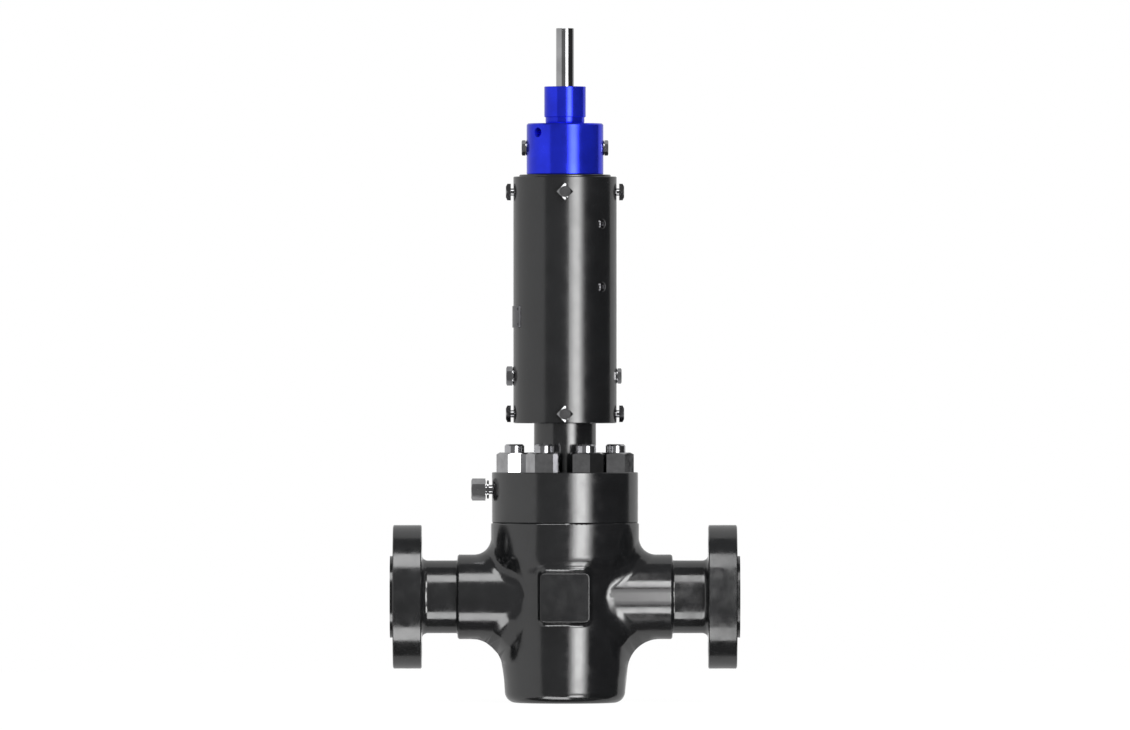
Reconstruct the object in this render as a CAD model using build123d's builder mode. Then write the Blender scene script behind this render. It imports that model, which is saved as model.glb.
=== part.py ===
from build123d import *
import os
from math import cos, degrees, radians, sin, sqrt, tan

os.makedirs("parts", exist_ok=True)

# Hydraulic gate valve with a spring-return actuator, sizes in millimetres.
# The origin is the centre of the flat foot. +Z runs up the stem and X along the flow.
# The valve is drawn closed: gate, stem, piston and indicator rod are at the top of the stroke.

# Fits
running_gap = 0.3
static_gap = 0.1
thread_gap = 0.05
cut_margin = 1.0
corner_flat_share = 0.96
corner_slope = 30.0

# Flow line and end flanges
face_to_face = 565.0
flow_bore_diameter = 65.1
port_height = 171.0
flange_diameter = 232.0
flange_thickness = 51.2
flange_rim_chamfer = 1.5
raised_face_diameter = 132.0
raised_face_height = 5.0
ring_groove_diameter = 102.8
ring_groove_width = 14.1
ring_groove_depth = 6.8
ring_groove_angle = 23.0
left_bolt_circle_diameter = 185.3
right_bolt_circle_diameter = 183.0
left_bolt_hole_diameter = 26.0
right_bolt_hole_diameter = 25.4
flange_bolt_count = 8
flange_neck_diameter = 117.6
flange_neck_blend = 10.0

# Forged body
hub_height = 136.8
hub_root_depth = 172.0
hub_end_depth = 142.0
hub_span = 347.0
hub_edge_round = 4.0
hub_step_blend = 3.0
joint_rise = 119.6
top_flange_diameter = 239.2
top_flange_depth = 50.6
top_edge_round = 3.0
waist_diameter = 208.0
waist_rise = 17.0
belly_diameter = 202.6
belly_drop = 114.0
foot_diameter = 194.6
foot_round = 18.0
upper_blend = 27.0
lower_blend = 52.0
pad_width = 80.0
pad_height = 79.0
pad_stand = 22.0
pad_corner = 8.0
pad_draft = 3.0
pad_root_blend = 9.0
pad_rim_round = 2.0

# Cavity, gate and seats
cavity_diameter = 108.0
cavity_floor = 42.0
stroke = 78.0
gate_thickness = 36.0
gate_width = 92.0
gate_bottom_drop = 45.0
gate_top_rise = 147.0
gate_corner = 14.0
gate_slot_width = 24.0
gate_slot_lip = 13.6
tee_slot_width = 40.0
tee_slot_height = 12.4
seat_diameter = 92.0
seat_depth = 62.0
seat_seal_diameter = 82.0
seat_seal_width = 4.0
seat_seal_depth = 4.0
seat_rim_chamfer = 1.5
guide_top_drop = 4.6

# Bonnet
bonnet_diameter = 236.0
bonnet_thickness = 81.6
bonnet_chamfer = 1.2
bonnet_recess_height = 59.4
neck_diameter = 100.2
neck_length = 80.3
neck_thread_diameter = 84.0
neck_thread_length = 17.5
gasket_inner_diameter = 116.0
gasket_width = 7.0
gasket_height = 12.0
gasket_chamfer = 1.5
stud_circle_diameter = 176.6
stud_count = 8
stud_diameter = 31.75
stud_hole_clearance = 1.1
stud_embedment = 48.6
stud_projection = 45.1
stud_chamfer = 2.5
nut_across_flats = 50.8
nut_height = 31.8
nut_turns = (13.0, 27.0, 4.0, 21.0, 10.2, 0.0, 42.5, 0.0)

# Stem and packing
stem_diameter = 38.0
stem_neck_diameter = 23.4
stem_tee_width = 39.0
stem_tee_length = 34.0
stem_tee_height = 11.8
back_seat_diameter = 48.0
back_seat_length = 16.0
back_seat_cone = 4.0
stem_thread_diameter = 30.0
stem_end_drop = 2.0
stem_end_chamfer = 1.5
stem_tee_gap = 1.0
stuffing_box_diameter = 62.0
stuffing_box_floor_rise = 15.8
packing_ring_count = 4
packing_ring_height = 8.5
packing_vee = 3.0
packing_adapter_height = 5.0
gland_ring_height = 10.0
gland_nut_height = 24.0
gland_slot_width = 7.0
gland_slot_depth = 5.0

# Grease fitting on the bonnet
grease_height_rise = 53.6
grease_thread_diameter = 18.0
grease_thread_length = 20.0
grease_passage_diameter = 6.0
grease_neck_diameter = 15.0
grease_disc_diameter = 30.0
grease_disc_thickness = 3.3
grease_disc_stand = 4.8
grease_cap_across_flats = 31.0
grease_cap_stand = 10.0
grease_cap_length = 23.3
grease_cap_wall = 6.0

# Actuator housing, plates and springs
housing_diameter = 166.9
housing_wall = 9.4
housing_length = 397.9
housing_chamfer = 1.2
base_plate_drop = 1.2
base_plate_thickness = 29.5
top_plate_thickness = 46.4
top_plate_proud = 3.2
outer_spring_side_gap = 5.05
outer_spring_wire = 18.0
outer_spring_coils = 7.5
inner_spring_side_gap = 6.0
inner_spring_wire = 12.0
inner_spring_coils = 11.0
spring_length = 260.0
spring_pilot_height = 5.0
spring_pilot_gap = 1.0
follower_side_gap = 3.05
follower_thickness = 28.0
follower_recess_diameter = 56.0
follower_recess_depth = 16.0
follower_chamfer = 2.0
lock_nut_across_flats = 46.0
lock_nut_height = 14.0
sleeve_side_gap = 3.0
sleeve_chamfer = 1.0
sleeve_bore_diameter = 41.0

# Set screws with square heads
screw_diameter = 12.0
screw_head_across_flats = 19.0
screw_head_thickness = 8.0
screw_head_stand = 4.0
screw_engagement = 14.0
screw_tip_room = 1.5
screw_tip_chamfer = 1.2
lower_screw_rise = 15.1
upper_screw_drop = 24.8
screw_count = 4

# Hydraulic cylinder
head_diameter = 124.1
head_height = 82.7
head_top_chamfer = 2.4
head_bottom_chamfer = 1.5
top_plate_wall = 19.05
cylinder_wall = 9.9
cylinder_roof = 31.1
roof_passage_diameter = 36.0
head_seal_height = 5.0
head_seal_depth = 3.0
head_seal_round = 1.0
piston_height = 30.0
piston_top_gap = 17.0
piston_seal_height = 8.0
piston_seal_depth = 5.0
piston_chamfer = 1.0
seal_chamfer = 0.8
wear_ring_height = 6.0
wear_ring_depth = 2.5
groove_spacing = 3.0
rod_diameter = 45.0
rod_foot_diameter = 76.0
rod_foot_height = 12.0
rod_foot_chamfer = 1.5
rod_spigot_diameter = 32.0
rod_spigot_length = 10.0
hydraulic_port_diameter = 15.5
hydraulic_port_reach = 4.95
hydraulic_port_drop = 14.9
hydraulic_port_angle = 225.0
hydraulic_drill_diameter = 8.0

# Cylinder cap and indicator rod
cap_diameter = 67.1
cap_height = 59.6
cap_relief_diameter = 63.0
cap_relief_taper = 1.0
cap_relief_height = 10.9
cap_chamfer = 0.8
cap_thread_diameter = 48.0
cap_thread_length = 22.9
cap_gland_diameter = 38.0
cap_gland_depth = 44.7
bush_height = 24.0
rod_seal_height = 9.0
wiper_height = 10.5
wiper_lip = 1.6
indicator_diameter = 28.6
indicator_length = 201.8
indicator_thread_diameter = 24.0
indicator_thread_length = 18.0
indicator_chamfer = 1.0
bush_running_gap = 0.08

# Plugs, accessory screws and nameplate
head_plug_drop = 39.5
head_plug_across_flats = 21.5
head_plug_height = 6.6
head_plug_thread = 13.0
head_plug_thread_length = 12.0
bleed_passage_diameter = 6.0
plug_washer_overhang = 1.2
plug_washer_thickness = 1.4
housing_plug_rise = 76.2
left_plug_across_flats = 27.0
left_plug_height = 10.1
left_plug_thread = 20.0
right_plug_across_flats = 21.5
right_plug_height = 6.6
right_plug_thread = 16.0
plug_rim_chamfer = 1.2
hexagon_turn = 30.0
button_angle = 315.0
button_upper_drop = 76.6
button_spacing = 101.6
button_head_diameter = 17.0
button_head_height = 4.4
button_shoulder_share = 0.8
button_shoulder_rise = 0.68
button_socket = 6.0
button_socket_depth = 2.6
button_thread = 8.0
nameplate_rise = 154.2
nameplate_height = 35.0
nameplate_arc = 60.0
nameplate_thickness = 1.6
rivet_head_diameter = 5.0
rivet_head_height = 1.6
rivet_dome_share = 0.7
rivet_shank_diameter = 3.0
rivet_shank_length = 6.0
rivet_inset = 5.0

# Heights and distances that follow from the sizes above
face_x = face_to_face / 2
flange_back_x = face_x - flange_thickness
flange_front_x = face_x - raised_face_height
joint_z = port_height + joint_rise
bonnet_top_z = joint_z + bonnet_thickness
bonnet_roof_z = joint_z + bonnet_recess_height
stuffing_floor_z = bonnet_top_z + stuffing_box_floor_rise
neck_shoulder_z = bonnet_top_z + neck_length
neck_top_z = neck_shoulder_z + neck_thread_length
housing_bottom_z = neck_shoulder_z - base_plate_drop
housing_top_z = housing_bottom_z + housing_length
housing_bore_diameter = housing_diameter - 2 * housing_wall
plate_diameter = housing_bore_diameter - 2 * static_gap
spigot_diameter = plate_diameter - 2 * top_plate_wall
cylinder_bore_diameter = spigot_diameter - 2 * cylinder_wall
outer_spring_mean = housing_bore_diameter - 2 * outer_spring_side_gap - outer_spring_wire
inner_spring_mean = (
    outer_spring_mean - outer_spring_wire - inner_spring_wire - 2 * inner_spring_side_gap
)
sleeve_diameter = inner_spring_mean - inner_spring_wire - 2 * sleeve_side_gap
follower_diameter = housing_bore_diameter - 2 * follower_side_gap
pad_across = waist_diameter + 2 * pad_stand
base_top_z = neck_shoulder_z + base_plate_thickness
follower_bottom_z = base_top_z + spring_length
follower_top_z = follower_bottom_z + follower_thickness
top_plate_z = housing_top_z + top_plate_proud
head_top_z = top_plate_z + head_height
cylinder_roof_z = head_top_z - cylinder_roof
spigot_bottom_z = follower_top_z + running_gap
piston_top_z = cylinder_roof_z - piston_top_gap
piston_bottom_z = piston_top_z - piston_height
cap_top_z = head_top_z + cap_height
gate_hole_z = port_height + stroke
gate_top_z = port_height + gate_top_rise
gate_slot_z = gate_top_z - gate_slot_lip
tee_slot_z = gate_slot_z - tee_slot_height
lower_screw_z = housing_bottom_z + lower_screw_rise
upper_screw_z = housing_top_z - upper_screw_drop
head_plug_z = head_top_z - head_plug_drop
housing_plug_z = housing_bottom_z + housing_plug_rise
port_axis = Axis((0, 0, port_height), (1, 0, 0))
port_plane = Plane(origin=(0, 0, port_height), x_dir=(1, 0, 0), z_dir=(0, -1, 0))


def radial_plane(angle, radius, height):
    """A plane on a vertical cylinder, facing outwards, with its own y axis pointing up."""
    turn = radians(angle)
    return Plane(
        origin=(radius * cos(turn), radius * sin(turn), height),
        x_dir=(-sin(turn), cos(turn), 0),
        z_dir=(cos(turn), sin(turn), 0),
    )


def is_arc_of(edge, diameter):
    """True for a circular edge of the given diameter."""
    return edge.geom_type == GeomType.CIRCLE and abs(edge.radius - diameter / 2) < 0.01


def hexagon_radius(across_flats):
    """Centre-to-corner radius of a hexagon."""
    return across_flats / sqrt(3)


def corner_trim(across_flats, corner_radius, top, depth):
    """The ring that slopes a polygon head's corners down, no lower than depth under its top."""
    flat = across_flats / 2 * corner_flat_share
    reach = corner_radius + cut_margin
    drop = min((reach - flat) * tan(radians(corner_slope)), depth)
    with BuildPart() as trim:
        with BuildSketch(Plane.XZ):
            with BuildLine():
                Polyline(
                    (flat, top),
                    (reach, top - drop),
                    (reach, top + cut_margin),
                    (flat, top + cut_margin),
                    close=True,
                )
            make_face()
        revolve(axis=Axis.Z)
    return trim.part


# Valve body: one forging with its ports, end flanges and wrench pads
with BuildPart() as barrel:
    with BuildSketch(Plane.XZ):
        with BuildLine():
            sole = Line((0, 0), (foot_diameter / 2 - foot_round, 0))
            heel = RadiusArc(sole @ 1, (foot_diameter / 2, foot_round), -foot_round)
            belly = Line(heel @ 1, (belly_diameter / 2, port_height - belly_drop))
            waist = Line(belly @ 1, (waist_diameter / 2, port_height + waist_rise))
            shoulder = Spline(
                waist @ 1,
                (top_flange_diameter / 2, joint_z - top_flange_depth),
                tangents=[waist % 1, (0, 1)],
            )
            wall = Line(shoulder @ 1, (top_flange_diameter / 2, joint_z - top_edge_round))
            lip = RadiusArc(wall @ 1, (top_flange_diameter / 2 - top_edge_round, joint_z), -top_edge_round)
            Polyline(lip @ 1, (0, joint_z), (0, 0))
        make_face()
    revolve(axis=Axis.Z)

# The port hubs taper outwards and meet the barrel in a small blend above the port's axis and a large
# one below it
forging_halves = []
for kept_side, blend in ((Keep.TOP, upper_blend), (Keep.BOTTOM, lower_blend)):
    with BuildPart() as forging_half:
        add(barrel.part)
        for side in (-1, 1):
            for station in (0, 0.5, 1):
                station_depth = hub_root_depth + (hub_end_depth - hub_root_depth) * station
                with BuildSketch(Plane.YZ.offset(side * station * hub_span / 2)):
                    with Locations((0, port_height)):
                        Ellipse(station_depth / 2, hub_height / 2)
            loft()
        split(bisect_by=Plane.XY.offset(port_height), keep=kept_side)
        junction = [
            e for e in forging_half.edges()
            if min(*e.bounding_box().size) > 1 and abs(e.center().X) < hub_span / 2 - 1
        ]
        fillet(junction, blend)
        hub_rims = [
            e for e in forging_half.edges()
            if abs(abs(e.center().X) - hub_span / 2) < 0.01 and e.geom_type != GeomType.LINE
        ]
        fillet(hub_rims, hub_edge_round)
    forging_halves.append(forging_half.part)

with BuildPart() as valve_body:
    add(forging_halves)

    # Square pads, front and back
    for side in (-1, 1):
        with BuildSketch(Plane.XZ.offset(side * pad_across / 2)):
            with Locations((0, port_height)):
                RectangleRounded(pad_width, pad_height, pad_corner)
        extrude(amount=-side * pad_across / 3, taper=-pad_draft)
    pad_roots = [
        e for e in valve_body.edges()
        if abs(e.center().X) < pad_width / 2 + 4
        and abs(e.center().Z - port_height) < pad_height / 2 + 4
        and pad_across / 3 < abs(e.center().Y) < pad_across / 2 - 3
        and e.geom_type != GeomType.LINE
    ]
    fillet(pad_roots, pad_root_blend)
    fillet([e for e in valve_body.edges() if abs(abs(e.center().Y) - pad_across / 2) < 0.01], pad_rim_round)

    # Necks and flanges, turned about the port's axis
    for side in (-1, 1):
        with BuildSketch(port_plane):
            with BuildLine():
                Polyline(
                    (0, 0),
                    (0, flange_neck_diameter / 2),
                    (side * flange_back_x, flange_neck_diameter / 2),
                    (side * flange_back_x, flange_diameter / 2),
                    (side * flange_front_x, flange_diameter / 2),
                    (side * flange_front_x, raised_face_diameter / 2),
                    (side * face_x, raised_face_diameter / 2),
                    (side * face_x, 0),
                    close=True,
                )
            make_face()
        revolve(axis=port_axis)
    neck_arcs = [e for e in valve_body.edges() if is_arc_of(e, flange_neck_diameter)]
    fillet([e for e in neck_arcs if abs(abs(e.arc_center.X) - flange_back_x) < 0.01], flange_neck_blend)
    neck_arcs = [e for e in valve_body.edges() if is_arc_of(e, flange_neck_diameter)]
    fillet([e for e in neck_arcs if abs(abs(e.arc_center.X) - hub_span / 2) < 0.01], hub_step_blend)
    chamfer([e for e in valve_body.edges() if is_arc_of(e, flange_diameter)], flange_rim_chamfer)

    # Cavity, flow bore and seat pockets
    with BuildSketch(Plane.XY.offset(cavity_floor)):
        Circle(cavity_diameter / 2)
    extrude(amount=joint_z - cavity_floor, mode=Mode.SUBTRACT)
    with BuildSketch(Plane.YZ.offset(-face_x)):
        with Locations((0, port_height)):
            Circle(flow_bore_diameter / 2)
    extrude(amount=face_to_face, mode=Mode.SUBTRACT)
    with BuildSketch(Plane.YZ.offset(-seat_depth)):
        with Locations((0, port_height)):
            Circle(seat_diameter / 2 + static_gap)
    extrude(amount=2 * seat_depth, mode=Mode.SUBTRACT)

    # Bolt holes and ring grooves in the flanges
    for side, bolt_circle_diameter, bolt_hole_diameter in (
        (-1, left_bolt_circle_diameter, left_bolt_hole_diameter),
        (1, right_bolt_circle_diameter, right_bolt_hole_diameter),
    ):
        with BuildSketch(Plane.YZ.offset(side * face_x)):
            with Locations((0, port_height)):
                with PolarLocations(bolt_circle_diameter / 2, flange_bolt_count, 180 / flange_bolt_count):
                    Circle(bolt_hole_diameter / 2)
        extrude(amount=-side * flange_thickness, mode=Mode.SUBTRACT)
        groove_out = ring_groove_diameter / 2
        groove_in = groove_out - ring_groove_width
        groove_slope = ring_groove_depth * tan(radians(ring_groove_angle))
        groove_floor_x = side * (face_x - ring_groove_depth)
        with BuildSketch(port_plane):
            with BuildLine():
                Polyline(
                    (side * face_x, groove_out),
                    (groove_floor_x, groove_out - groove_slope),
                    (groove_floor_x, groove_in + groove_slope),
                    (side * face_x, groove_in),
                    close=True,
                )
            make_face()
        revolve(axis=port_axis, mode=Mode.SUBTRACT)

    # Stud holes and gasket groove in the top joint
    with BuildSketch(Plane.XY.offset(joint_z)):
        with PolarLocations(stud_circle_diameter / 2, stud_count, 180 / stud_count):
            Circle(stud_diameter / 2 + thread_gap)
    extrude(amount=-stud_embedment, mode=Mode.SUBTRACT)
    with BuildSketch(Plane.XY.offset(joint_z)):
        Circle(gasket_inner_diameter / 2 + gasket_width + static_gap)
        Circle(gasket_inner_diameter / 2 - static_gap, mode=Mode.SUBTRACT)
    extrude(amount=-gasket_height / 2, mode=Mode.SUBTRACT)
valve_body.part.label = "valve_body"
export_step(valve_body.part, "parts/valve_body.step")

# Bonnet: bolted flange, neck and stuffing box in one piece
with BuildPart() as bonnet:
    with BuildSketch(Plane.XZ):
        with BuildLine():
            Polyline(
                (cavity_diameter / 2, joint_z),
                (bonnet_diameter / 2, joint_z),
                (bonnet_diameter / 2, bonnet_top_z),
                (neck_diameter / 2, bonnet_top_z),
                (neck_diameter / 2, neck_shoulder_z),
                (neck_thread_diameter / 2, neck_shoulder_z),
                (neck_thread_diameter / 2, neck_top_z),
                (stuffing_box_diameter / 2, neck_top_z),
                (stuffing_box_diameter / 2, stuffing_floor_z),
                (stem_diameter / 2 + running_gap, stuffing_floor_z),
                (stem_diameter / 2 + running_gap, bonnet_roof_z + back_seat_cone),
                (stem_diameter / 2 + running_gap + back_seat_cone, bonnet_roof_z),
                (cavity_diameter / 2, bonnet_roof_z),
                close=True,
            )
        make_face()
    revolve(axis=Axis.Z)
    chamfer([e for e in bonnet.edges() if is_arc_of(e, bonnet_diameter)], bonnet_chamfer)
    with BuildSketch(Plane.XY.offset(joint_z)):
        with PolarLocations(stud_circle_diameter / 2, stud_count, 180 / stud_count):
            Circle(stud_diameter / 2 + stud_hole_clearance)
    extrude(amount=bonnet_thickness, mode=Mode.SUBTRACT)
    with BuildSketch(Plane.XY.offset(joint_z)):
        Circle(gasket_inner_diameter / 2 + gasket_width + static_gap)
        Circle(gasket_inner_diameter / 2 - static_gap, mode=Mode.SUBTRACT)
    extrude(amount=gasket_height / 2, mode=Mode.SUBTRACT)
    with BuildSketch(radial_plane(180, bonnet_diameter / 2, joint_z + grease_height_rise)):
        Circle(grease_thread_diameter / 2 + thread_gap)
    extrude(amount=-grease_thread_length, mode=Mode.SUBTRACT)
    with BuildSketch(radial_plane(180, bonnet_diameter / 2, joint_z + grease_height_rise)):
        Circle(grease_passage_diameter / 2)
    extrude(amount=(cavity_diameter - bonnet_diameter) / 2 - cut_margin, mode=Mode.SUBTRACT)
bonnet.part.label = "bonnet"
export_step(bonnet.part, "parts/bonnet.step")

with BuildPart() as bonnet_gasket:
    with BuildSketch(Plane.XY.offset(joint_z - gasket_height / 2)):
        Circle(gasket_inner_diameter / 2 + gasket_width)
        Circle(gasket_inner_diameter / 2, mode=Mode.SUBTRACT)
    extrude(amount=gasket_height)
    chamfer(bonnet_gasket.edges().filter_by(GeomType.CIRCLE), gasket_chamfer)
bonnet_gasket.part.label = "bonnet_gasket"
export_step(bonnet_gasket.part, "parts/bonnet_gasket.step")

# Bonnet studs and heavy hexagon nuts
with BuildPart() as bonnet_studs:
    with BuildSketch(Plane.XY.offset(joint_z - stud_embedment)):
        with PolarLocations(stud_circle_diameter / 2, stud_count, 180 / stud_count):
            Circle(stud_diameter / 2)
    extrude(amount=stud_embedment + bonnet_thickness + stud_projection)
    chamfer(bonnet_studs.edges().group_by(Axis.Z)[-1], stud_chamfer)
bonnet_studs.part.label = "bonnet_studs"
export_step(bonnet_studs.part, "parts/bonnet_studs.step")

with BuildPart() as heavy_nut:
    with BuildSketch():
        RegularPolygon(hexagon_radius(nut_across_flats), 6)
        Circle(stud_diameter / 2 + thread_gap, mode=Mode.SUBTRACT)
    extrude(amount=nut_height)
    add(
        corner_trim(nut_across_flats, hexagon_radius(nut_across_flats), nut_height, nut_height / 4),
        mode=Mode.SUBTRACT,
    )

with BuildPart() as bonnet_nuts:
    for position, turn in enumerate(nut_turns):
        angle = (position + 0.5) * 360 / stud_count
        nut_x = stud_circle_diameter / 2 * cos(radians(angle))
        nut_y = stud_circle_diameter / 2 * sin(radians(angle))
        with Locations(Location((nut_x, nut_y, bonnet_top_z), (0, 0, turn))):
            add(heavy_nut.part)
bonnet_nuts.part.label = "bonnet_nuts"
export_step(bonnet_nuts.part, "parts/bonnet_nuts.step")

# Seat rings and the seals in their back faces
for side, side_name in ((-1, "left"), (1, "right")):
    with BuildPart() as seat_ring:
        with BuildSketch(Plane.YZ.offset(side * (gate_thickness / 2 + running_gap))):
            with Locations((0, port_height)):
                Circle(seat_diameter / 2)
                Circle(flow_bore_diameter / 2, mode=Mode.SUBTRACT)
        extrude(amount=side * (seat_depth - gate_thickness / 2 - running_gap))
        front_rim = [e for e in seat_ring.edges() if is_arc_of(e, seat_diameter)]
        chamfer(sorted(front_rim, key=lambda e: abs(e.arc_center.X))[0], seat_rim_chamfer)
        with BuildSketch(Plane.YZ.offset(side * seat_depth)):
            with Locations((0, port_height)):
                Circle(seat_seal_diameter / 2 + static_gap)
                Circle(seat_seal_diameter / 2 - seat_seal_width - static_gap, mode=Mode.SUBTRACT)
        extrude(amount=-side * seat_seal_depth, mode=Mode.SUBTRACT)
    seat_ring.part.label = f"seat_ring_{side_name}"
    export_step(seat_ring.part, f"parts/seat_ring_{side_name}.step")

with BuildPart() as seat_seals:
    for side in (-1, 1):
        with BuildSketch(Plane.YZ.offset(side * seat_depth)):
            with Locations((0, port_height)):
                Circle(seat_seal_diameter / 2)
                Circle(seat_seal_diameter / 2 - seat_seal_width, mode=Mode.SUBTRACT)
        extrude(amount=-side * seat_seal_depth)
seat_seals.part.label = "seat_seals"
export_step(seat_seals.part, "parts/seat_seals.step")

# Slab gate: the plain lower half shuts the bore, the hole above it opens it
with BuildPart() as gate:
    with BuildSketch(Plane.YZ.offset(-gate_thickness / 2)) as gate_outline:
        with Locations((0, port_height + (gate_top_rise - gate_bottom_drop) / 2)):
            Rectangle(gate_width, gate_top_rise + gate_bottom_drop)
        fillet(gate_outline.vertices().group_by(Axis.Y)[0], gate_corner)
        with Locations((0, gate_hole_z)):
            Circle(flow_bore_diameter / 2, mode=Mode.SUBTRACT)
        with Locations((0, gate_slot_z + gate_slot_lip / 2)):
            Rectangle(gate_slot_width, gate_slot_lip, mode=Mode.SUBTRACT)
        with Locations((0, tee_slot_z + tee_slot_height / 2)):
            Rectangle(tee_slot_width, tee_slot_height, mode=Mode.SUBTRACT)
    extrude(amount=gate_thickness)
gate.part.label = "gate"
export_step(gate.part, "parts/gate.step")

for side, side_name in ((-1, "front"), (1, "back")):
    with BuildPart() as gate_guide:
        with BuildSketch(Plane.XY.offset(cavity_floor)):
            Circle(cavity_diameter / 2 - static_gap)
            with Locations((0, side * (gate_width / 2 + running_gap + cavity_diameter / 2))):
                Rectangle(cavity_diameter, cavity_diameter, mode=Mode.INTERSECT)
        extrude(amount=joint_z - guide_top_drop - cavity_floor)
    gate_guide.part.label = f"gate_guide_{side_name}"
    export_step(gate_guide.part, f"parts/gate_guide_{side_name}.step")

# Stem: tee foot in the gate, back seat under the bonnet and threaded top in the follower
stem_foot_z = gate_slot_z - running_gap
stem_body_z = gate_top_z + stem_tee_gap
back_seat_z = bonnet_roof_z - running_gap
stem_top_z = follower_top_z - stem_end_drop
with BuildPart() as stem:
    with BuildSketch(Plane.XZ):
        with BuildLine():
            Polyline(
                (0, stem_foot_z),
                (stem_neck_diameter / 2, stem_foot_z),
                (stem_neck_diameter / 2, stem_body_z),
                (stem_diameter / 2, stem_body_z),
                (stem_diameter / 2, back_seat_z - back_seat_length),
                (back_seat_diameter / 2, back_seat_z - back_seat_length),
                (back_seat_diameter / 2, back_seat_z),
                (stem_diameter / 2 + back_seat_cone, back_seat_z),
                (stem_diameter / 2, back_seat_z + back_seat_cone),
                (stem_diameter / 2, follower_bottom_z),
                (stem_thread_diameter / 2, follower_bottom_z),
                (stem_thread_diameter / 2, stem_top_z),
                (0, stem_top_z),
                close=True,
            )
        make_face()
    revolve(axis=Axis.Z)
    chamfer(stem.edges().group_by(Axis.Z)[-1], stem_end_chamfer)
    with BuildSketch(Plane.XY.offset(stem_foot_z)):
        Rectangle(stem_tee_length, stem_tee_width)
    extrude(amount=-stem_tee_height)
stem.part.label = "stem"
export_step(stem.part, "parts/stem.step")

# Packing set in the stuffing box: adapter, vee rings, gland ring and gland nut
packing_in = stem_diameter / 2 + running_gap
packing_out = stuffing_box_diameter / 2 - static_gap
packing_mid = (packing_in + packing_out) / 2
adapter_top_z = stuffing_floor_z + packing_adapter_height
packing_top_z = adapter_top_z + packing_ring_count * packing_ring_height
gland_ring_top_z = packing_top_z + gland_ring_height

with BuildPart() as packing_adapter:
    with BuildSketch(Plane.XZ):
        with BuildLine():
            Polyline(
                (packing_in, stuffing_floor_z),
                (packing_out, stuffing_floor_z),
                (packing_out, adapter_top_z),
                (packing_mid, adapter_top_z + packing_vee),
                (packing_in, adapter_top_z),
                close=True,
            )
        make_face()
    revolve(axis=Axis.Z)
packing_adapter.part.label = "packing_adapter"
export_step(packing_adapter.part, "parts/packing_adapter.step")

with BuildPart() as stem_packing:
    for ring in range(packing_ring_count):
        ring_z = adapter_top_z + ring * packing_ring_height
        ring_top_z = ring_z + packing_ring_height - static_gap
        with BuildSketch(Plane.XZ):
            with BuildLine():
                Polyline(
                    (packing_in, ring_z),
                    (packing_mid, ring_z + packing_vee),
                    (packing_out, ring_z),
                    (packing_out, ring_top_z),
                    (packing_mid, ring_top_z + packing_vee),
                    (packing_in, ring_top_z),
                    close=True,
                )
            make_face()
        revolve(axis=Axis.Z)
stem_packing.part.label = "stem_packing"
export_step(stem_packing.part, "parts/stem_packing.step")

with BuildPart() as gland_ring:
    with BuildSketch(Plane.XZ):
        with BuildLine():
            Polyline(
                (packing_in, packing_top_z),
                (packing_mid, packing_top_z + packing_vee),
                (packing_out, packing_top_z),
                (packing_out, gland_ring_top_z),
                (packing_in, gland_ring_top_z),
                close=True,
            )
        make_face()
    revolve(axis=Axis.Z)
gland_ring.part.label = "gland_ring"
export_step(gland_ring.part, "parts/gland_ring.step")

with BuildPart() as gland_nut:
    with BuildSketch(Plane.XY.offset(gland_ring_top_z)):
        Circle(packing_out)
        Circle(packing_in, mode=Mode.SUBTRACT)
    extrude(amount=gland_nut_height)
    with BuildSketch(Plane.XY.offset(gland_ring_top_z + gland_nut_height)):
        Rectangle(stuffing_box_diameter, gland_slot_width)
        Rectangle(gland_slot_width, stuffing_box_diameter)
    extrude(amount=-gland_slot_depth, mode=Mode.SUBTRACT)
gland_nut.part.label = "gland_nut"
export_step(gland_nut.part, "parts/gland_nut.step")

# Grease fitting and its hexagon cap, on the left of the bonnet
grease_plane = radial_plane(180, bonnet_diameter / 2, joint_z + grease_height_rise)
with BuildPart() as grease_fitting:
    with BuildSketch(grease_plane):
        Circle(grease_thread_diameter / 2)
    extrude(amount=-grease_thread_length)
    with BuildSketch(grease_plane):
        Circle(grease_neck_diameter / 2)
    extrude(amount=grease_cap_stand + grease_cap_length - grease_cap_wall)
    with BuildSketch(grease_plane.offset(grease_disc_stand)):
        Circle(grease_disc_diameter / 2)
    extrude(amount=grease_disc_thickness)
    disc_rims = [e for e in grease_fitting.edges() if is_arc_of(e, grease_disc_diameter)]
    chamfer(disc_rims, grease_disc_thickness / 5)
grease_fitting.part.label = "grease_fitting"
export_step(grease_fitting.part, "parts/grease_fitting.step")

with BuildPart() as hexagon_cap:
    with BuildSketch():
        RegularPolygon(hexagon_radius(grease_cap_across_flats), 6)
    extrude(amount=grease_cap_length)
    with BuildSketch():
        Circle(grease_neck_diameter / 2 + thread_gap)
    extrude(amount=grease_cap_length - grease_cap_wall, mode=Mode.SUBTRACT)
    add(
        corner_trim(
            grease_cap_across_flats,
            hexagon_radius(grease_cap_across_flats),
            grease_cap_length,
            grease_cap_length / 4,
        ),
        mode=Mode.SUBTRACT,
    )
with BuildPart() as grease_fitting_cap:
    with Locations(grease_plane.offset(grease_cap_stand).location):
        add(hexagon_cap.part)
grease_fitting_cap.part.label = "grease_fitting_cap"
export_step(grease_fitting_cap.part, "parts/grease_fitting_cap.step")

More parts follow.
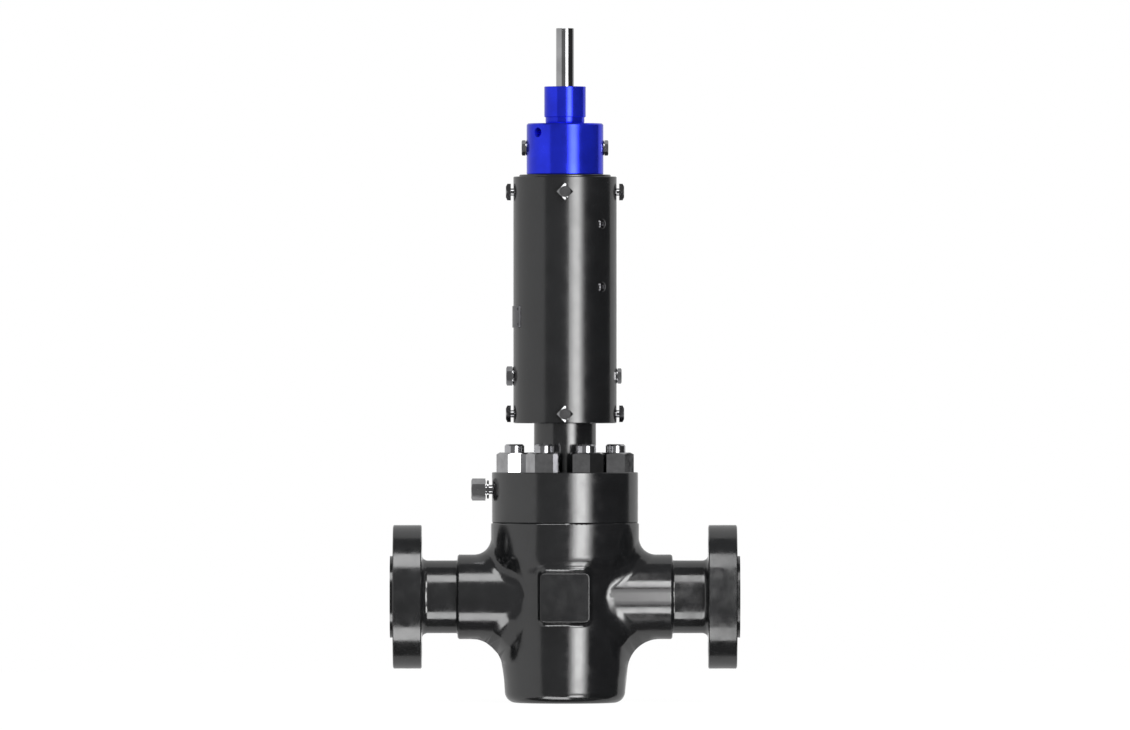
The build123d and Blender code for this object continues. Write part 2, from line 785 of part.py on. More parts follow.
# Actuator housing: a plain tube with holes for screws, plugs and nameplate rivets
accessory_heights = (housing_top_z - button_upper_drop, housing_top_z - button_upper_drop - button_spacing)
nameplate_z = housing_bottom_z + nameplate_rise
nameplate_mid_radius = housing_diameter / 2 + nameplate_thickness
rivet_angle = nameplate_arc / 2 - degrees(rivet_inset / nameplate_mid_radius)
rivet_places = [
    (180 + turn, nameplate_z + height)
    for turn in (-rivet_angle, rivet_angle)
    for height in (rivet_inset, nameplate_height - rivet_inset)
]
screw_angles = [360 / screw_count * place for place in range(screw_count)]
housing_holes = (
    [(angle, lower_screw_z, screw_diameter + 2 * running_gap) for angle in screw_angles]
    + [(angle, upper_screw_z, screw_diameter + 2 * running_gap) for angle in screw_angles]
    + [(180, housing_plug_z, left_plug_thread + 2 * thread_gap)]
    + [(0, housing_plug_z, right_plug_thread + 2 * thread_gap)]
    + [(button_angle, height, button_thread + 2 * thread_gap) for height in accessory_heights]
    + [(angle, height, rivet_shank_diameter + 2 * thread_gap) for angle, height in rivet_places]
)
with BuildPart() as housing:
    with BuildSketch(Plane.XY.offset(housing_bottom_z)):
        Circle(housing_diameter / 2)
        Circle(housing_bore_diameter / 2, mode=Mode.SUBTRACT)
    extrude(amount=housing_length)
    chamfer([e for e in housing.edges() if is_arc_of(e, housing_diameter)], housing_chamfer)
    for angle, height, hole_diameter in housing_holes:
        with BuildSketch(radial_plane(angle, housing_diameter / 2 + cut_margin, height)):
            Circle(hole_diameter / 2)
        extrude(amount=-housing_wall - 3 * cut_margin, mode=Mode.SUBTRACT)
housing.part.label = "housing"
export_step(housing.part, "parts/housing.step")

# Spring pilots stand between the two springs, on the base plate and under the follower
pilot_out = outer_spring_mean - outer_spring_wire - 2 * spring_pilot_gap
pilot_in = inner_spring_mean + inner_spring_wire + 2 * spring_pilot_gap

with BuildPart() as base_plate:
    with BuildSketch(Plane.XY.offset(neck_shoulder_z)):
        Circle(plate_diameter / 2)
        Circle(neck_thread_diameter / 2 + thread_gap, mode=Mode.SUBTRACT)
    extrude(amount=base_plate_thickness)
    with BuildSketch(Plane.XY.offset(neck_top_z)):
        Circle(plate_diameter / 2)
        Circle(stem_diameter / 2 + sleeve_side_gap, mode=Mode.SUBTRACT)
    extrude(amount=base_top_z - neck_top_z)
    with BuildSketch(Plane.XY.offset(base_top_z)):
        Circle(pilot_out / 2)
        Circle(pilot_in / 2, mode=Mode.SUBTRACT)
    extrude(amount=spring_pilot_height)
    for angle in screw_angles:
        with BuildSketch(radial_plane(angle, plate_diameter / 2, lower_screw_z)):
            Circle(screw_diameter / 2 + thread_gap)
        extrude(amount=-screw_engagement - screw_tip_room, mode=Mode.SUBTRACT)
base_plate.part.label = "base_plate"
export_step(base_plate.part, "parts/base_plate.step")

with BuildPart() as top_plate:
    with BuildSketch(Plane.XY.offset(top_plate_z - top_plate_thickness)):
        Circle(plate_diameter / 2)
        Circle(spigot_diameter / 2 + static_gap, mode=Mode.SUBTRACT)
    extrude(amount=top_plate_thickness)
    chamfer([e for e in top_plate.edges() if is_arc_of(e, plate_diameter)], housing_chamfer)
    for angle in screw_angles:
        with BuildSketch(radial_plane(angle, plate_diameter / 2, upper_screw_z)):
            Circle(screw_diameter / 2 + thread_gap)
        extrude(amount=-screw_engagement - screw_tip_room, mode=Mode.SUBTRACT)
top_plate.part.label = "top_plate"
export_step(top_plate.part, "parts/top_plate.step")

# Set screws: their square heads stand corner up, clear of the housing
screw_head_radius = screw_head_across_flats / sqrt(2)
screw_tip_radius = plate_diameter / 2 - screw_engagement
screw_head_from = housing_diameter / 2 + screw_head_stand
with BuildPart() as set_screw:
    with BuildSketch(Plane.XY.offset(screw_tip_radius)):
        Circle(screw_diameter / 2)
    extrude(amount=screw_head_from - screw_tip_radius)
    chamfer(set_screw.edges().group_by(Axis.Z)[0], screw_tip_chamfer)
    with BuildSketch(Plane.XY.offset(screw_head_from)):
        Rectangle(screw_head_across_flats, screw_head_across_flats, rotation=45)
    extrude(amount=screw_head_thickness)
    add(
        corner_trim(
            screw_head_across_flats,
            screw_head_radius,
            screw_head_from + screw_head_thickness,
            screw_head_thickness / 3,
        ),
        mode=Mode.SUBTRACT,
    )

with BuildPart() as lower_set_screws:
    for angle in screw_angles:
        with Locations(radial_plane(angle, 0, lower_screw_z).location):
            add(set_screw.part)
lower_set_screws.part.label = "lower_set_screws"
export_step(lower_set_screws.part, "parts/lower_set_screws.step")

with BuildPart() as upper_set_screws:
    for angle in screw_angles:
        with Locations(radial_plane(angle, 0, upper_screw_z).location):
            add(set_screw.part)
upper_set_screws.part.label = "upper_set_screws"
export_step(upper_set_screws.part, "parts/upper_set_screws.step")

# Two nested closing springs with flat ground ends
spring_sizes = (
    ("outer_spring", outer_spring_mean, outer_spring_wire, outer_spring_coils),
    ("inner_spring", inner_spring_mean, inner_spring_wire, inner_spring_coils),
)
for spring_name, mean_diameter, wire, coils in spring_sizes:
    with BuildPart() as spring:
        with BuildLine():
            coil = Helix(
                pitch=spring_length / coils,
                height=spring_length,
                radius=mean_diameter / 2,
                center=(0, 0, base_top_z),
                lefthand=spring_name == "inner_spring",
            )
        with BuildSketch(Plane(origin=coil @ 0, z_dir=coil % 0)):
            Circle(wire / 2)
        sweep(path=coil, is_frenet=True)
        split(bisect_by=Plane.XY.offset(base_top_z), keep=Keep.TOP)
        split(bisect_by=Plane.XY.offset(base_top_z + spring_length), keep=Keep.BOTTOM)
    spring.part.label = spring_name
    export_step(spring.part, f"parts/{spring_name}.step")

# Follower plate: carries both springs and is screwed to the stem
with BuildPart() as follower_plate:
    with BuildSketch(Plane.XY.offset(follower_bottom_z)):
        Circle(follower_diameter / 2)
    extrude(amount=follower_thickness)
    chamfer(follower_plate.edges(), follower_chamfer)
    with BuildSketch(Plane.XY.offset(follower_bottom_z)):
        Circle(pilot_out / 2)
        Circle(pilot_in / 2, mode=Mode.SUBTRACT)
    extrude(amount=-spring_pilot_height)
    with BuildSketch(Plane.XY.offset(follower_top_z)):
        Circle(follower_recess_diameter / 2)
    extrude(amount=-follower_recess_depth, mode=Mode.SUBTRACT)
    with BuildSketch(Plane.XY.offset(follower_bottom_z)):
        Circle(stem_thread_diameter / 2 + thread_gap)
    extrude(amount=follower_thickness, mode=Mode.SUBTRACT)
follower_plate.part.label = "follower_plate"
export_step(follower_plate.part, "parts/follower_plate.step")

with BuildPart() as stem_lock_nut:
    with BuildSketch(Plane.XY.offset(follower_top_z - follower_recess_depth)):
        RegularPolygon(hexagon_radius(lock_nut_across_flats), 6)
        Circle(stem_thread_diameter / 2 + thread_gap, mode=Mode.SUBTRACT)
    extrude(amount=lock_nut_height)
stem_lock_nut.part.label = "stem_lock_nut"
export_step(stem_lock_nut.part, "parts/stem_lock_nut.step")

# Stop sleeve: the follower lands on it when the valve is fully open
with BuildPart() as stop_sleeve:
    with BuildSketch(Plane.XY.offset(base_top_z)):
        Circle(sleeve_diameter / 2)
        Circle(sleeve_bore_diameter / 2, mode=Mode.SUBTRACT)
    extrude(amount=spring_length - stroke - running_gap)
    chamfer(stop_sleeve.edges().group_by(Axis.Z)[-1], sleeve_chamfer)
stop_sleeve.part.label = "stop_sleeve"
export_step(stop_sleeve.part, "parts/stop_sleeve.step")

# Cylinder head: shoulder on the top plate, cylinder reaching down through it
bleed_angles = (0, 180)
head_seal_z = top_plate_z - top_plate_thickness / 2 - head_seal_height / 2
with BuildPart() as cylinder_head:
    with BuildSketch(Plane.XZ):
        with BuildLine():
            Polyline(
                (cylinder_bore_diameter / 2, spigot_bottom_z),
                (spigot_diameter / 2, spigot_bottom_z),
                (spigot_diameter / 2, top_plate_z),
                (head_diameter / 2 - head_bottom_chamfer, top_plate_z),
                (head_diameter / 2, top_plate_z + head_bottom_chamfer),
                (head_diameter / 2, head_top_z - head_top_chamfer),
                (head_diameter / 2 - head_top_chamfer, head_top_z),
                (cap_thread_diameter / 2 + thread_gap, head_top_z),
                (cap_thread_diameter / 2 + thread_gap, head_top_z - cap_thread_length),
                (roof_passage_diameter / 2, head_top_z - cap_thread_length),
                (roof_passage_diameter / 2, cylinder_roof_z),
                (cylinder_bore_diameter / 2, cylinder_roof_z),
                close=True,
            )
        make_face()
    revolve(axis=Axis.Z)
    with BuildSketch(Plane.XY.offset(head_seal_z)):
        Circle(spigot_diameter / 2 + cut_margin)
        Circle(spigot_diameter / 2 - head_seal_depth, mode=Mode.SUBTRACT)
    extrude(amount=head_seal_height, mode=Mode.SUBTRACT)
    for angle in bleed_angles:
        bleed_plane = radial_plane(angle, head_diameter / 2, head_plug_z)
        with BuildSketch(bleed_plane):
            Circle(head_plug_thread / 2 + thread_gap)
        extrude(amount=-head_plug_thread_length, mode=Mode.SUBTRACT)
        with BuildSketch(bleed_plane):
            Circle(bleed_passage_diameter / 2)
        extrude(amount=(cylinder_bore_diameter - head_diameter) / 2 - cut_margin, mode=Mode.SUBTRACT)
    port_z = head_top_z - hydraulic_port_drop
    port_end_radius = cylinder_bore_diameter / 2 - hydraulic_port_reach
    with BuildSketch(radial_plane(hydraulic_port_angle, head_diameter / 2, port_z)):
        Circle(hydraulic_port_diameter / 2)
    extrude(amount=port_end_radius - head_diameter / 2, mode=Mode.SUBTRACT)
    drill_radius = port_end_radius + hydraulic_drill_diameter / 4
    with BuildSketch(Plane.XY.offset(port_z)):
        with PolarLocations(drill_radius, 1, hydraulic_port_angle):
            Circle(hydraulic_drill_diameter / 2)
    extrude(amount=cylinder_roof_z - port_z - cut_margin, mode=Mode.SUBTRACT)
cylinder_head.part.label = "cylinder_head"
export_step(cylinder_head.part, "parts/cylinder_head.step")

with BuildPart() as head_seal:
    with BuildSketch(Plane.XY.offset(head_seal_z)):
        Circle(spigot_diameter / 2)
        Circle(spigot_diameter / 2 - head_seal_depth + thread_gap, mode=Mode.SUBTRACT)
    extrude(amount=head_seal_height)
    fillet(head_seal.edges().filter_by(GeomType.CIRCLE), head_seal_round)
head_seal.part.label = "head_seal"
export_step(head_seal.part, "parts/head_seal.step")

# Piston with its seal and wear ring
piston_radius = cylinder_bore_diameter / 2 - running_gap
wear_ring_z = piston_bottom_z + groove_spacing
piston_seal_z = wear_ring_z + wear_ring_height + groove_spacing
with BuildPart() as piston:
    with BuildSketch(Plane.XY.offset(piston_bottom_z)):
        Circle(piston_radius)
    extrude(amount=piston_height)
    chamfer(piston.edges(), piston_chamfer)
    with BuildSketch(Plane.XY.offset(piston_seal_z)):
        Circle(piston_radius + cut_margin)
        Circle(piston_radius - piston_seal_depth, mode=Mode.SUBTRACT)
    extrude(amount=piston_seal_height, mode=Mode.SUBTRACT)
    with BuildSketch(Plane.XY.offset(wear_ring_z)):
        Circle(piston_radius + cut_margin)
        Circle(piston_radius - wear_ring_depth, mode=Mode.SUBTRACT)
    extrude(amount=wear_ring_height, mode=Mode.SUBTRACT)
    with BuildSketch(Plane.XY.offset(piston_top_z)):
        Circle(indicator_thread_diameter / 2 + thread_gap)
    extrude(amount=-indicator_thread_length, mode=Mode.SUBTRACT)
    with BuildSketch(Plane.XY.offset(piston_bottom_z)):
        Circle(rod_spigot_diameter / 2 + thread_gap)
    extrude(amount=rod_spigot_length, mode=Mode.SUBTRACT)
piston.part.label = "piston"
export_step(piston.part, "parts/piston.step")

with BuildPart() as piston_seal:
    with BuildSketch(Plane.XY.offset(piston_seal_z)):
        Circle(piston_radius)
        Circle(piston_radius - piston_seal_depth + thread_gap, mode=Mode.SUBTRACT)
    extrude(amount=piston_seal_height)
    chamfer(piston_seal.edges().filter_by(GeomType.CIRCLE), seal_chamfer)
piston_seal.part.label = "piston_seal"
export_step(piston_seal.part, "parts/piston_seal.step")

with BuildPart() as piston_wear_ring:
    with BuildSketch(Plane.XY.offset(wear_ring_z)):
        Circle(piston_radius)
        Circle(piston_radius - wear_ring_depth + thread_gap, mode=Mode.SUBTRACT)
    extrude(amount=wear_ring_height)
piston_wear_ring.part.label = "piston_wear_ring"
export_step(piston_wear_ring.part, "parts/piston_wear_ring.step")

# Piston rod: pushes the follower down through its wide foot
with BuildPart() as piston_rod:
    with BuildSketch(Plane.XY.offset(follower_top_z)):
        Circle(rod_foot_diameter / 2)
    extrude(amount=rod_foot_height)
    chamfer(piston_rod.edges(), rod_foot_chamfer)
    with BuildSketch(Plane.XY.offset(follower_top_z)):
        Circle(rod_diameter / 2)
    extrude(amount=piston_bottom_z - follower_top_z)
    with BuildSketch(Plane.XY.offset(piston_bottom_z)):
        Circle(rod_spigot_diameter / 2)
    extrude(amount=rod_spigot_length)
piston_rod.part.label = "piston_rod"
export_step(piston_rod.part, "parts/piston_rod.step")

with BuildPart() as indicator_rod:
    with BuildSketch(Plane.XY.offset(piston_top_z - indicator_thread_length)):
        Circle(indicator_thread_diameter / 2)
    extrude(amount=indicator_thread_length)
    with BuildSketch(Plane.XY.offset(piston_top_z)):
        Circle(indicator_diameter / 2)
    extrude(amount=indicator_length)
    chamfer(indicator_rod.edges().group_by(Axis.Z)[-1], indicator_chamfer)
indicator_rod.part.label = "indicator_rod"
export_step(indicator_rod.part, "parts/indicator_rod.step")

# Cylinder cap: screwed into the head, holds the rod's bush, seal and wiper
cap_relief_z = head_top_z + cap_relief_height
cap_gland_z = cap_top_z - cap_gland_depth
with BuildPart() as cylinder_cap:
    with BuildSketch(Plane.XZ):
        with BuildLine():
            Polyline(
                (indicator_diameter / 2 + running_gap, head_top_z - cap_thread_length),
                (cap_thread_diameter / 2, head_top_z - cap_thread_length),
                (cap_thread_diameter / 2, head_top_z),
                (cap_relief_diameter / 2 - cap_relief_taper, head_top_z),
                (cap_relief_diameter / 2, head_top_z + 2 * cap_relief_taper),
                (cap_relief_diameter / 2, cap_relief_z - cap_chamfer),
                (cap_diameter / 2 - cap_chamfer, cap_relief_z - cap_chamfer),
                (cap_diameter / 2, cap_relief_z),
                (cap_diameter / 2, cap_top_z - cap_chamfer),
                (cap_diameter / 2 - cap_chamfer, cap_top_z),
                (cap_gland_diameter / 2, cap_top_z),
                (cap_gland_diameter / 2, cap_gland_z),
                (indicator_diameter / 2 + running_gap, cap_gland_z),
                close=True,
            )
        make_face()
    revolve(axis=Axis.Z)
cylinder_cap.part.label = "cylinder_cap"
export_step(cylinder_cap.part, "parts/cylinder_cap.step")

gland_out = cap_gland_diameter / 2 - thread_gap
with BuildPart() as rod_bush:
    with BuildSketch(Plane.XY.offset(cap_gland_z)):
        Circle(gland_out)
        Circle(indicator_diameter / 2 + bush_running_gap, mode=Mode.SUBTRACT)
    extrude(amount=bush_height)
rod_bush.part.label = "rod_bush"
export_step(rod_bush.part, "parts/rod_bush.step")

rod_seal_z = cap_gland_z + bush_height
with BuildPart() as rod_seal:
    with BuildSketch(Plane.XY.offset(rod_seal_z)):
        Circle(gland_out)
        Circle(indicator_diameter / 2 + running_gap, mode=Mode.SUBTRACT)
    extrude(amount=rod_seal_height)
    chamfer(rod_seal.edges().filter_by(GeomType.CIRCLE).group_by(Axis.Z)[0], seal_chamfer)
rod_seal.part.label = "rod_seal"
export_step(rod_seal.part, "parts/rod_seal.step")

wiper_z = rod_seal_z + rod_seal_height
wiper_in = indicator_diameter / 2 + running_gap
with BuildPart() as rod_wiper:
    with BuildSketch(Plane.XZ):
        with BuildLine():
            Polyline(
                (wiper_in, wiper_z),
                (gland_out, wiper_z),
                (gland_out, wiper_z + wiper_height),
                (wiper_in + wiper_lip, wiper_z + wiper_height),
                (wiper_in, wiper_z + wiper_height + wiper_lip),
                close=True,
            )
        make_face()
    revolve(axis=Axis.Z)
rod_wiper.part.label = "rod_wiper"
export_step(rod_wiper.part, "parts/rod_wiper.step")


def hexagon_plug(across_flats, height, thread_diameter, thread_length, turn):
    """A hexagon-headed plug on +Z: the head starts above its washer, the thread runs below zero."""
    with BuildPart() as plug:
        with BuildSketch(Plane.XY.offset(-thread_length)):
            Circle(thread_diameter / 2)
        extrude(amount=thread_length + plug_washer_thickness)
        with BuildSketch(Plane.XY.offset(plug_washer_thickness)):
            RegularPolygon(hexagon_radius(across_flats), 6, rotation=turn)
        extrude(amount=height)
        add(
            corner_trim(
                across_flats, hexagon_radius(across_flats), plug_washer_thickness + height, plug_rim_chamfer
            ),
            mode=Mode.SUBTRACT,
        )
    return plug.part


def plug_washer(across_flats, thread_diameter):
    """The washer under a plug's head, on +Z."""
    with BuildPart() as washer:
        with BuildSketch():
            Circle(across_flats / 2 + plug_washer_overhang)
            Circle(thread_diameter / 2 + thread_gap, mode=Mode.SUBTRACT)
        extrude(amount=plug_washer_thickness)
    return washer.part


# Bleed plugs on the cylinder head and plugs low on the housing
head_plug_seats = (
    ("head_plug_left", radial_plane(180, head_diameter / 2, head_plug_z)),
    ("head_plug_right", radial_plane(0, head_diameter / 2, head_plug_z)),
)
for plug_name, seat_plane in head_plug_seats:
    with BuildPart() as head_plug:
        with Locations(seat_plane.location):
            add(
                hexagon_plug(
                    head_plug_across_flats,
                    head_plug_height,
                    head_plug_thread,
                    head_plug_thread_length - cut_margin,
                    hexagon_turn,
                )
            )
    head_plug.part.label = plug_name
    export_step(head_plug.part, f"parts/{plug_name}.step")

with BuildPart() as head_plug_washers:
    for plug_name, seat_plane in head_plug_seats:
        with Locations(seat_plane.location):
            add(plug_washer(head_plug_across_flats, head_plug_thread))
head_plug_washers.part.label = "head_plug_washers"
export_step(head_plug_washers.part, "parts/head_plug_washers.step")

left_seat = radial_plane(180, housing_diameter / 2, housing_plug_z)
right_seat = radial_plane(0, housing_diameter / 2, housing_plug_z)
with BuildPart() as housing_plug_left:
    with Locations(left_seat.location):
        add(
            hexagon_plug(
                left_plug_across_flats, left_plug_height, left_plug_thread, housing_wall, hexagon_turn
            )
        )
housing_plug_left.part.label = "housing_plug_left"
export_step(housing_plug_left.part, "parts/housing_plug_left.step")

with BuildPart() as housing_plug_right:
    with Locations(right_seat.location):
        add(
            hexagon_plug(
                right_plug_across_flats, right_plug_height, right_plug_thread, housing_wall, hexagon_turn
            )
        )
housing_plug_right.part.label = "housing_plug_right"
export_step(housing_plug_right.part, "parts/housing_plug_right.step")

with BuildPart() as housing_plug_washers:
    with Locations(left_seat.location):
        add(plug_washer(left_plug_across_flats, left_plug_thread))
    with Locations(right_seat.location):
        add(plug_washer(right_plug_across_flats, right_plug_thread))
housing_plug_washers.part.label = "housing_plug_washers"
export_step(housing_plug_washers.part, "parts/housing_plug_washers.step")

# Accessory screws: button heads with hexagon sockets, front right on the housing
with BuildPart() as button_screw:
    with BuildSketch(Plane.XZ):
        with BuildLine():
            Line((0, button_head_height), (button_head_diameter / 4, button_head_height))
            ThreePointArc(
                (button_head_diameter / 4, button_head_height),
                (
                    button_head_diameter / 2 * button_shoulder_share,
                    button_head_height * button_shoulder_rise,
                ),
                (button_head_diameter / 2, 0),
            )
            Polyline((button_head_diameter / 2, 0), (0, 0), (0, button_head_height))
        make_face()
    revolve(axis=Axis.Z)
    with BuildSketch(Plane.XY.offset(button_head_height)):
        RegularPolygon(hexagon_radius(button_socket), 6)
    extrude(amount=-button_socket_depth, mode=Mode.SUBTRACT)
    with BuildSketch():
        Circle(button_thread / 2)
    extrude(amount=-housing_wall)

with BuildPart() as accessory_screws:
    for height in accessory_heights:
        with Locations(radial_plane(button_angle, housing_diameter / 2, height).location):
            add(button_screw.part)
accessory_screws.part.label = "accessory_screws"
export_step(accessory_screws.part, "parts/accessory_screws.step")

# Blank nameplate, bent round the left of the housing, with four rivets
with BuildPart() as nameplate:
    with BuildSketch(Plane.XZ):
        with Locations((housing_diameter / 2 + nameplate_thickness / 2, nameplate_z + nameplate_height / 2)):
            Rectangle(nameplate_thickness, nameplate_height)
    revolve(axis=Axis.Z, revolution_arc=nameplate_arc)
plate_turn = Rotation(0, 0, 180 - nameplate_arc / 2)
with BuildPart() as nameplate_placed:
    with Locations(plate_turn):
        add(nameplate.part)
    for angle, height in rivet_places:
        with BuildSketch(radial_plane(angle, housing_diameter / 2 + 2 * nameplate_thickness, height)):
            Circle(rivet_shank_diameter / 2 + thread_gap)
        extrude(amount=-4 * nameplate_thickness, mode=Mode.SUBTRACT)
nameplate_placed.part.label = "nameplate"
export_step(nameplate_placed.part, "parts/nameplate.step")

with BuildPart() as rivet:
    with BuildSketch(Plane.XZ):
        with BuildLine():
            ThreePointArc(
                (0, rivet_head_height),
                (rivet_head_diameter / 2 * rivet_dome_share, rivet_head_height * rivet_dome_share),
                (rivet_head_diameter / 2, 0),
            )
            Polyline(
                (rivet_head_diameter / 2, 0),
                (rivet_shank_diameter / 2, 0),
                (rivet_shank_diameter / 2, -rivet_shank_length),
                (0, -rivet_shank_length),
                (0, rivet_head_height),
            )
        make_face()
    revolve(axis=Axis.Z)

with BuildPart() as nameplate_rivets:
    for angle, height in rivet_places:
        with Locations(radial_plane(angle, housing_diameter / 2 + nameplate_thickness, height).location):
            add(rivet.part)
nameplate_rivets.part.label = "nameplate_rivets"
export_step(nameplate_rivets.part, "parts/nameplate_rivets.step")
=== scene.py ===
"""Hydraulic gate valve: finishes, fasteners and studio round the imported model."""

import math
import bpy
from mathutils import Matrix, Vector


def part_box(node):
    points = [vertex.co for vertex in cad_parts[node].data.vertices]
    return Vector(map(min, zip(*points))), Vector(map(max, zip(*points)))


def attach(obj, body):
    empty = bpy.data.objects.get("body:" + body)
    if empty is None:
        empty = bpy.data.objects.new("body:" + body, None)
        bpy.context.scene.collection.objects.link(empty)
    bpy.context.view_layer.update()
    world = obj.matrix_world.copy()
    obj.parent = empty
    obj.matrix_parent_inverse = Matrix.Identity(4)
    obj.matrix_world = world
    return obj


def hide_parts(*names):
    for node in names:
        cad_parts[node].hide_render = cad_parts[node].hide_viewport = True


bl_info = {
    "name": "Hydraulic Gate Valve",
    "version": (1, 0, 0),
    "blender": (4, 5, 0),
    "location": "View3D > Sidebar > Gate Valve",
    "description": "Builds the visible pieces, finishes and studio of a hydraulic gate valve",
    "category": "Add Mesh",
}

import bpy
from bpy.props import FloatProperty, FloatVectorProperty, IntProperty, PointerProperty
from mathutils import Matrix, Vector

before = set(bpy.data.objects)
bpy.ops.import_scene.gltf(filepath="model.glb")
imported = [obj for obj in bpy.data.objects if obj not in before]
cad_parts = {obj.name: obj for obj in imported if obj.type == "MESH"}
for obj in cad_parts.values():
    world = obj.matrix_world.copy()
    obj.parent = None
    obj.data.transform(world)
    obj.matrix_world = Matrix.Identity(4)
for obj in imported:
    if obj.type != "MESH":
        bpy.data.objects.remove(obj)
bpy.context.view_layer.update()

# Bolt and screw heads, in metres unless a share
FLAT_SHARE = 0.96  # round top of a head over its width across flats
TRIM_SLOPE = math.tan(math.radians(30))  # slope of a head's corners
TRIM_ROOM = 0.001  # how far a trimming outline stands outside the head
FACE_RISE = 0.0004  # round face under the hexagon of a plug or cap
FACE_SLOPE = 0.0001
COUNTERSINK_SHARE = 0.08  # countersink of a nut over its bore's radius
CORNER_UP = math.pi / 6

# Studs and nuts of the bonnet
STUD_ANGLES = tuple(22.5 + 45.0 * place for place in range(8))
NUT_TURNS = (13.0, 27.0, 4.0, 21.0, 10.2, 0.0, 42.5, 0.0)  # degrees, in the order of the studs
NUT_CLEARANCE = 0.00005
CENTRE_RADIUS = 0.003
CENTRE_TIP = 0.0008
CENTRE_DEPTH = 0.0022

# Set screws, and the plugs in the cylinder and the housing
SCREW_ENGAGEMENT = 0.014
SCREW_TIP_CHAMFER = 0.0012
SCREW_OVERLAP = 0.002
BLEED_SHANK = (0.0065, 0.011)  # radius and length
LEFT_TUBE_SHANK = (0.01, 0.0094)
RIGHT_TUBE_SHANK = (0.008, 0.0094)
SHANK_CHAMFER = 0.0008
SHANK_OVERLAP = 0.001
WASHER_MARGIN = 0.0012
WASHER_CLEARANCE = 0.0001

# Nameplate and its rivets
PLATE_EDGE = 0.0002
PLATE_STEPS = 240
PLATE_HALF_ARC = math.degrees(math.asin(0.5))  # half the angle that the plate spans
WINDOW_SHIFT = -0.004  # moves the block that trims the plate outwards from the housing
RIVET_INSET = 0.005
RIVET_SHANK_RADIUS = 0.0015
RIVET_SHANK_LENGTH = 0.006
RIVET_HEIGHT = 0.0016

# Clean surfaces that lend the forging their shading
GUIDE_REACH = 0.00012
GUIDE_STEPS = 360
GUIDE_FLARE = (0.0004, 0.01)  # last stop of the barrel's guide, outwards and up from the waist
HUB_GUIDE_SPAN = (0.3, 0.99)  # start and end of a hub's guide over the hub's reach

# Paint and metal: dark and light tone over the base colour, and the span of a noise that is used
PAINT_TONES = (0.78, 1.22)
METAL_TONES = (0.86, 1.1)
NOISE_SPAN = (0.3, 0.7)

# Studio: brightness of emitters, azimuths in degrees from the camera's side towards +X
WINDOW_CARDS = (  # name, share of the strip's brightness, width and height, place
    ("window_glow", 0.3, (2.52, 3.5), (1.66, -3.64, 0.25)),
    ("window", 0.8, (1.77, 2.0), (1.66, -3.62, 0.25)),
    ("window_heart", 1.28, (0.97, 2.0), (1.67, -3.59, 0.25)),
)
TWIN_WINDOW_SHARE = 1.2
DIM_CARD = 0.5
CEILING_RISE = 3.4  # over and under the ports' axis
BACK_RISE = 2.3
WALL_SECTORS = (  # name, brightness, azimuth at which it ends
    ("wall_left", 0.6, -43),
    ("wall_front", 0.18, 46),
    ("wall_right", 0.035, 120),
    ("wall_far_right", 0.55, 180),
)
WALL_ENDS = 0.1
WALL_STEPS = 72
WALL_OPENING = 164  # the wall is open beyond this azimuth on both sides
FLOOR_GREY = 0.36
FLOOR_GLOW = 1.16
WORLD_LIGHT = 0.4
CAMERA_DISTANCE = 25.336
CAMERA_HEIGHT = 0.5452
CAMERA_LENS = 500.0

# Node: name of its visible piece, finish, slot
SHELLS = {
    "valve_body": ("forging", "black_forging", "black_body"),
    "bonnet": ("bonnet_flange", "black_forging", "black_body"),
    "housing": ("spring_housing", "black_tube", "black_housing"),
    "top_plate": ("housing_lid", "black_tube", "black_housing"),
    "cylinder_head": ("hydraulic_cylinder", "blue_enamel", "blue_coat"),
    "cylinder_cap": ("cylinder_crown", "blue_enamel", "blue_coat"),
}
INNER_FINISHES = {
    "bonnet_gasket": "turned_steel",
    "seat_ring_left": "lapped_facing",
    "seat_ring_right": "lapped_facing",
    "seat_seals": "packing_weave",
    "gate": "lapped_facing",
    "gate_guide_front": "turned_steel",
    "gate_guide_back": "turned_steel",
    "stem": "turned_steel",
    "packing_adapter": "turned_steel",
    "stem_packing": "packing_weave",
    "gland_ring": "bearing_bronze",
    "gland_nut": "turned_steel",
    "base_plate": "turned_steel",
    "outer_spring": "phosphated_wire",
    "inner_spring": "phosphated_wire",
    "stop_sleeve": "turned_steel",
    "follower_plate": "turned_steel",
    "stem_lock_nut": "dull_steel",
    "head_seal": "black_rubber",
    "piston": "turned_steel",
    "piston_seal": "black_rubber",
    "piston_wear_ring": "packing_weave",
    "piston_rod": "hard_chrome",
    "rod_bush": "bearing_bronze",
    "rod_seal": "black_rubber",
    "rod_wiper": "black_rubber",
}


def length(name, description, default):
    return FloatProperty(name=name, description=description, default=default, min=0.0, unit="LENGTH")


def colour(name, description, default):
    return FloatVectorProperty(
        name=name, description=description, default=default, size=3, min=0.0, max=1.0, subtype="COLOR"
    )


def share(name, description, default):
    return FloatProperty(
        name=name, description=description, default=default, min=0.0, max=1.0, subtype="FACTOR"
    )


